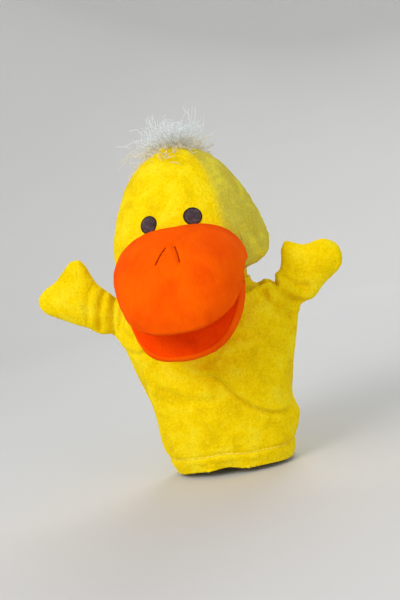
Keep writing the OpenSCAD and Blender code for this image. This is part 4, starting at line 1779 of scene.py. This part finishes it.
@dataclass
class Bill:
    """The padded upper bill, the lower bill and the red lining of the mouth."""

    form: Form
    puff: float = 33.0
    droop: float = 1.6
    corner_flare: float = 3.2
    swell: float = 0.6
    forward: float = 18.0
    ease: float = 3.0
    lift_off: float = 1.5
    snub: float = 0.82
    rows: int = 64
    cols: int = 160
    lip_r: float = 3.4
    seam_inset: float = 1.6
    jaw_depth: float = 18.0
    jaw_root: float = 6.0
    fold_r: float = 2.2
    gap: float = 0.8

    NOSTRILS = (((1.0, 163.2), (-5.5, 154.2)), ((6.5, 162.8), (9.5, 153.4)))

    def upper_rows(self, a: np.ndarray) -> list:
        """The upper bill from the seam on the face, over the top and round the lip.

        Args:
            a: Angles round the outline, from the left corner to the right.

        Returns:
            Rows of points.
        """
        form = self.form
        turn, climb = oval(form.bill_corner_deg, form.bill_rise, a, form.bill_power)
        seam = form.head_points(270 + turn, form.corner_z + climb, 0.4)
        out = form.upper_outline(a, -form.bill_bulge)
        rim = form.upper_outline(a, -self.swell)
        level = np.ones_like(a)
        c, s = np.cos(np.radians(a)), np.sin(np.radians(a))
        p1 = seam + np.stack([form.bill_bulge * c, -self.forward * s - self.ease,
                              self.lift_off * s], -1)
        p2 = form.mouth_point(out[0], out[1] * self.snub,
                              self.puff * climb / form.bill_rise + self.ease,
                              form.palate_deg)
        p3 = form.mouth_point(rim[0], rim[1], level * (self.gap + self.lip_r - self.droop),
                              form.palate_deg)
        rows = []
        for t in np.linspace(0, 1, self.rows):
            u = 1 - t
            rows.append(u ** 3 * seam + 3 * u * u * t * p1 + 3 * u * t * t * p2 + t ** 3 * p3)
        for swing in np.linspace(0, 100, 9)[1:]:
            inset = self.lip_r * (1 - math.cos(math.radians(swing))) - self.swell
            height = self.gap + self.lip_r * (1 - math.sin(math.radians(swing))) - self.droop
            q = form.upper_outline(a, inset)
            rows.append(form.mouth_point(q[0], q[1], level * height, form.palate_deg))
        return rows

    def upper(self) -> None:
        """The upper bill's cover, with its nostrils' puckers and painted shade in its grooves."""
        a = np.linspace(178, 2, self.cols)
        grid = np.array(self.upper_rows(a))
        piece = sheet_piece("upper_bill_velour", grid)
        face_outwards(piece, (0, -60, 140))
        p, n = get_points(piece), get_normals(piece)
        front = smooth_step(-n[:, 1], 0.0, 0.4)
        lift = 0.45 * noise(p, 30, 31) + 0.10 * noise(p, 7, 32)
        for line in self.NOSTRILS:
            distance, _, _ = from_line(p[:, [0, 2]], np.array(line))
            lift += front * (-1.1 * mound(distance, 1.3) + 0.45 * mound(distance - 2.6, 1.8))
        dimple = np.linalg.norm(p[:, [0, 2]] - [-0.6, 149.5], axis=1)
        lift += front * (-0.9 * mound(dimple, 2.4) + 0.6 * mound(dimple - 4.2, 2.2))
        between = np.linalg.norm((p[:, [0, 2]] - [0, 156.5]) / [1, 1.4], axis=1)
        lift += front * 0.8 * mound(between, 4.0)
        rows = np.repeat(np.arange(len(grid)), self.cols)
        lift -= 0.9 * mound(rows, 1.6)
        lift -= 0.35 * mound(rows - (self.rows - 2), 2.0)
        # Painted shade in the seam, lip and nostril grooves.
        shade = np.clip(-lift - 0.3, 0, 1.2) / 1.2 * 0.5
        p += n * lift[:, None]
        set_points(piece, p)
        number_on_points(piece, "shade", shade)
        thicken(piece, 1.4)
        dress(piece, ORANGE_VELOUR)
        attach(piece, "head")
        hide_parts("upper_bill_cover", "upper_bill_stuffing")
        done(piece)
        self.nostrils(piece)

    def nostrils(self, velour: bpy.types.Object) -> None:
        """Stitched lines that lie in the puckers.

        Args:
            velour: The finished upper bill.
        """
        points, edges = [], []
        for (x0, z0), (x1, z1) in self.NOSTRILS:
            steps = 12
            for i in range(steps + 1):
                t = i / steps
                bow = 0.5 * math.sin(math.pi * t) * (1 if x1 > x0 else -1)
                start = Vector(((x0 + (x1 - x0) * t + bow) * MM, -0.2, (z0 + (z1 - z0) * t) * MM))
                hit, spot, normal, _ = velour.ray_cast(start, Vector((0, 1, 0)))
                if not hit:
                    continue
                if i:
                    edges.append((len(points) - 1, len(points)))
                points.append(np.array(spot) / MM + np.array(normal) * 0.12)
        piece = new_piece("nostril_thread", np.array(points), [], edges)
        ThreadTree().grow(piece, {"Radius": 0.00042, "Sides": 8}, NOSTRIL_THREAD)
        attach(piece, "head")
        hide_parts("nostril_stitches")
        done(piece)

    def lower(self) -> None:
        """The lower bill's velour, from the hinge along the underside and round the lip."""
        form = self.form
        a = np.linspace(6, 174, self.cols)
        rim = form.lower_outline(a, 0)
        root_x = form.jaw_half_w * np.cos(np.radians(a))
        rows = []
        for t in np.linspace(0, 1, self.rows):
            g = math.sin(math.radians(90 * t))
            ahead = rim[1] * g / form.jaw_l
            depth = self.jaw_root + (self.jaw_depth - self.jaw_root) * np.sin(
                np.pi * np.minimum(ahead * 0.8, 1))
            low = -self.gap - self.lip_r * 0.6 - depth * math.cos(math.radians(90 * t)) ** 0.7
            rows.append(form.mouth_point(root_x + (rim[0] - root_x) * g,
                                         rim[1] * g + self.fold_r + 1, low, form.jaw_deg))
        for turn in np.linspace(0, 90, 8)[1:]:
            inset = self.lip_r * 0.6 * (1 - math.cos(math.radians(turn)))
            height = -self.gap - self.lip_r * 0.6 * (1 - math.sin(math.radians(turn)))
            q = form.lower_outline(a, inset)
            rows.append(form.mouth_point(q[0], q[1] + self.fold_r + 1, np.full_like(a, height),
                                         form.jaw_deg))
        grid = np.array(rows)
        piece = sheet_piece("lower_bill_velour", grid)
        face_outwards(piece, (0, -70, 118))
        p, n = get_points(piece), get_normals(piece)
        p += n * (0.35 * noise(p, 26, 41) + 0.1 * noise(p, 7, 42))[:, None]
        set_points(piece, p)
        thicken(piece, 1.4)
        dress(piece, ORANGE_VELOUR)
        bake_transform(piece)
        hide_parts("lower_bill_cover", "lower_bill_stuffing")
        done(piece)

    def lining_rows(self, deg: float, rim: tuple, height: float, start: float) -> np.ndarray:
        """A sheet over one half of the mouth, from its seam back to the hinge.

        Args:
            deg: Slope of that half's plane.
            rim: The seam's points, sideways and ahead.
            height: Height of the sheet above the plane.
            start: How far ahead of the hinge it ends.

        Returns:
            The sheet's rows of points.
        """
        form = self.form
        a = np.linspace(4, 176, self.cols)
        root_x = (form.jaw_half_w - 5) * np.cos(np.radians(a))
        rows = []
        for t in np.linspace(1, 0, 30):
            g = math.sin(math.radians(90 * t))
            ahead = rim[1] * g + start * (0.4 + 0.6 * g)
            side = root_x + (rim[0] - root_x) * g
            pad = 1.4 * math.sin(math.pi * g) * np.sin(np.radians(a))
            rows.append(form.mouth_point(side, ahead, height + pad, deg))
        return np.array(rows)

    def lining(self) -> None:
        """The mouth's red lining: roof and floor, sewn to the lips, and the fold at the hinge."""
        form = self.form
        a = np.linspace(4, 176, self.cols)
        floor = sheet_piece("mouth_floor_lining",
                            self.lining_rows(form.jaw_deg, form.lower_outline(a, self.seam_inset),
                                             -self.gap - 0.25, self.fold_r + 1))
        roof = sheet_piece("mouth_roof_lining",
                           self.lining_rows(form.palate_deg,
                                            form.upper_outline(a, self.lip_r - self.swell),
                                            self.gap + 0.1 - self.droop, self.fold_r))
        face_outwards(floor, (0, -70, 80))
        face_outwards(roof, (0, -70, 170))
        for piece, body, nodes in (
                (floor, "jaw", ("lower_mouth_lining",)), (roof, "head", ("palate_lining",))):
            thicken(piece, 0.8)
            dress(piece, MOUTH_LINING)
            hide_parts(*nodes)
            if body == "head":
                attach(piece, "head")
            else:
                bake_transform(piece)
            done(piece)
        half = form.bill_half_w - 4
        ring = np.radians(np.linspace(0, 360, 17)[:-1])
        rings = []
        for q in np.linspace(-half, half, 48):
            r = self.fold_r * (1 + 0.08 * math.sin(q * 0.7))
            r += self.corner_flare * abs(q / half) ** 4
            rings.append(np.stack([np.full_like(ring, q), form.hinge_y + r * np.cos(ring),
                                   form.hinge_z + 0.9 * r * np.sin(ring)], -1))
        fold = closed_piece("mouth_fold", np.array(rings))
        face_outwards(fold, (0, form.hinge_y, form.hinge_z))
        dress(fold, MOUTH_LINING)
        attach(fold, "head")
        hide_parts("mouth_hinge_fold")
        done(fold)

    def pocket(self, name: str, node: str, body: str, deg: float, size: tuple, start: float,
               middle: float) -> None:
        """A soft flat cloth tube for fingers, closed at its far end.

        Args:
            name: The piece's name.
            node: The CAD node that it stands for.
            body: The body it rides on.
            deg: Slope of the mouth's plane that it lies along.
            size: Width, height and length.
            start: Where its mouth is, ahead of the hinge.
            middle: Height of its middle above the mouth's plane.
        """
        width, height, length = size
        around = np.linspace(0, 360, 65)[:-1]
        rows = []
        for t in np.linspace(0, 1, 26):
            close = math.sqrt(max(1 - (max(t - 0.75, 0) / 0.25) ** 2, 0.0004))
            px, py = oval(width / 2 * (0.25 + 0.75 * close), height / 2 * close, around, 2.6)
            wave = 0.35 * np.sin(px * 0.5 + t * 9) * (1 - t)
            rows.append(self.form.mouth_point(px, np.full_like(px, start + length * t),
                                              middle + py + wave, deg))
        piece = sheet_piece(name, np.array(rows), wrap=True)
        centre = self.form.mouth_point(np.array(0.0), np.array(start + length / 2),
                                       np.array(middle), deg)
        face_outwards(piece, tuple(centre))
        thicken(piece, 0.8)
        dress(piece, POCKET_CLOTH)
        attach(piece, body)
        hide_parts(node)
        done(piece)

    def build(self) -> None:
        """Makes every piece of the mouth and dresses the boards inside it."""
        form = self.form
        self.upper()
        self.lower()
        self.lining()
        self.pocket("finger_pocket_cloth", "finger_pocket", "head", form.palate_deg,
                    (57, 13.4, 35.6), -2, 10.8)
        self.pocket("thumb_pocket_cloth", "thumb_pocket", "jaw", form.jaw_deg, (23.4, 8.6, 24.6),
                    18, -8.4)
        for node in ("upper_mouth_board", "lower_mouth_board"):
            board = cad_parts[node]
            board.data.materials.clear()
            board.data.materials.append(BOARD_CARD.material())


# ---------------------------------------------------------------- stage


@dataclass
class Studio:
    """Camera, lights and the pale bowl that the puppet stands in."""

    target: tuple = (-0.002, 0.0, 0.121)
    distance: float = 0.6
    azimuth: float = 12.0
    elevation: float = 5.0
    lean: float = 11.3
    lens: float = 51.2

    def camera(self) -> None:
        """Puts the camera at its angle, rolled by the puppet's lean."""
        az, el, roll = (math.radians(v) for v in (self.azimuth, self.elevation, self.lean))
        back = Vector((math.sin(az) * math.cos(el), -math.cos(az) * math.cos(el), math.sin(el)))
        right = Vector((math.cos(az), math.sin(az), 0))
        up = back.cross(right)
        across = right * math.cos(roll) - up * math.sin(roll)
        upward = right * math.sin(roll) + up * math.cos(roll)
        data = bpy.data.cameras.new("camera")
        data.lens = self.lens
        data.sensor_width = 36
        data.clip_start, data.clip_end = 0.01, 50
        camera = bpy.data.objects.new("camera", data)
        turned = Matrix((across, upward, back)).transposed().to_4x4()
        turned.translation = Vector(self.target) + back * self.distance
        camera.matrix_world = turned
        bpy.context.scene.collection.objects.link(camera)
        bpy.context.scene.camera = camera

    def lamp(self, name: str, place: tuple, size: float, power: float, colour: tuple) -> None:
        """A soft square light that looks at the puppet.

        Args:
            name: Its name.
            place: Where it stands.
            size: Its width.
            power: Its power in watts.
            colour: Its colour.
        """
        data = bpy.data.lights.new(name, "AREA")
        data.shape = "SQUARE"
        data.size = size
        data.energy = power
        data.color = colour
        lamp = bpy.data.objects.new(name, data)
        lamp.location = place
        aim = Vector(self.target) - Vector(place)
        lamp.rotation_euler = aim.to_track_quat("-Z", "Y").to_euler()
        bpy.context.scene.collection.objects.link(lamp)

    def floor(self) -> None:
        """A round pale floor that sweeps up into a wall all round."""
        around = np.linspace(0, 360, 97)[:-1]
        profile = [(2, 0.0), (600, 0.0), (1000, 0.0)]
        profile += [(1000 + 600 * math.sin(math.radians(t)), 600 * (1 - math.cos(math.radians(t))))
                    for t in range(6, 91, 6)]
        profile.append((1600, 900))
        rings = [np.stack([*oval(r, r, around), np.full_like(around, z - 0.3)], -1)
                 for r, z in profile]
        floor = sheet_piece("studio_floor", np.array(rings), wrap=True)
        face_outwards(floor, (0, 0, -5000))
        made, shader, link = start_material("studio_floor")
        grain = made.node_tree.nodes.new("ShaderNodeTexNoise")
        grain.inputs["Scale"].default_value = 3
        tone = made.node_tree.nodes.new("ShaderNodeValToRGB")
        tone.color_ramp.elements[0].color = (0.62, 0.62, 0.61, 1)
        tone.color_ramp.elements[1].color = (0.66, 0.66, 0.65, 1)
        place = made.node_tree.nodes.new("ShaderNodeTexCoord")
        link(place.outputs["Object"], grain.inputs["Vector"])
        link(grain.outputs["Fac"], tone.inputs["Fac"])
        link(tone.outputs["Color"], shader.inputs["Base Color"])
        shader.inputs["Roughness"].default_value = 0.9
        floor.data.materials.append(made)

    def build(self) -> None:
        """Makes the stage."""
        self.camera()
        self.floor()
        self.lamp("key", (-0.75, -1.15, 1.05), 0.8, 15.0, (1.0, 0.985, 0.96))
        self.lamp("fill", (1.1, -0.85, 0.5), 0.9, 4.2, (0.96, 0.98, 1.0))
        self.lamp("back", (0.2, 1.1, 1.1), 0.9, 7, (1.0, 1.0, 1.0))
        world = bpy.data.worlds.new("studio")
        world.use_nodes = True
        sky = world.node_tree.nodes["Background"]
        sky.inputs["Color"].default_value = (0.95, 0.97, 1.0, 1)
        sky.inputs["Strength"].default_value = 0.5
        bpy.context.scene.world = world
        bpy.context.scene.view_settings.view_transform = "Standard"


def main() -> None:
    """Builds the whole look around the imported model."""
    logging.basicConfig(level=logging.INFO, format="%(name)s: %(message)s")
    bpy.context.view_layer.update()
    form = Form()
    for part in (Studio(), SleeveAndWings(form), Neck(form), Head(form), Bill(form)):
        part.build()


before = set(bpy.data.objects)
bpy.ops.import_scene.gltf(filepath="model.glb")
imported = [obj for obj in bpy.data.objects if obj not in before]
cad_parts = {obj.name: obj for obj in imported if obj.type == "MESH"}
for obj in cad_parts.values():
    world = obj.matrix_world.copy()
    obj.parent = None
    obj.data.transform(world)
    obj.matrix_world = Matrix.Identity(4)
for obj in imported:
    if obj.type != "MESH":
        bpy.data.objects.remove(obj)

if __name__ == "__main__":
    main()
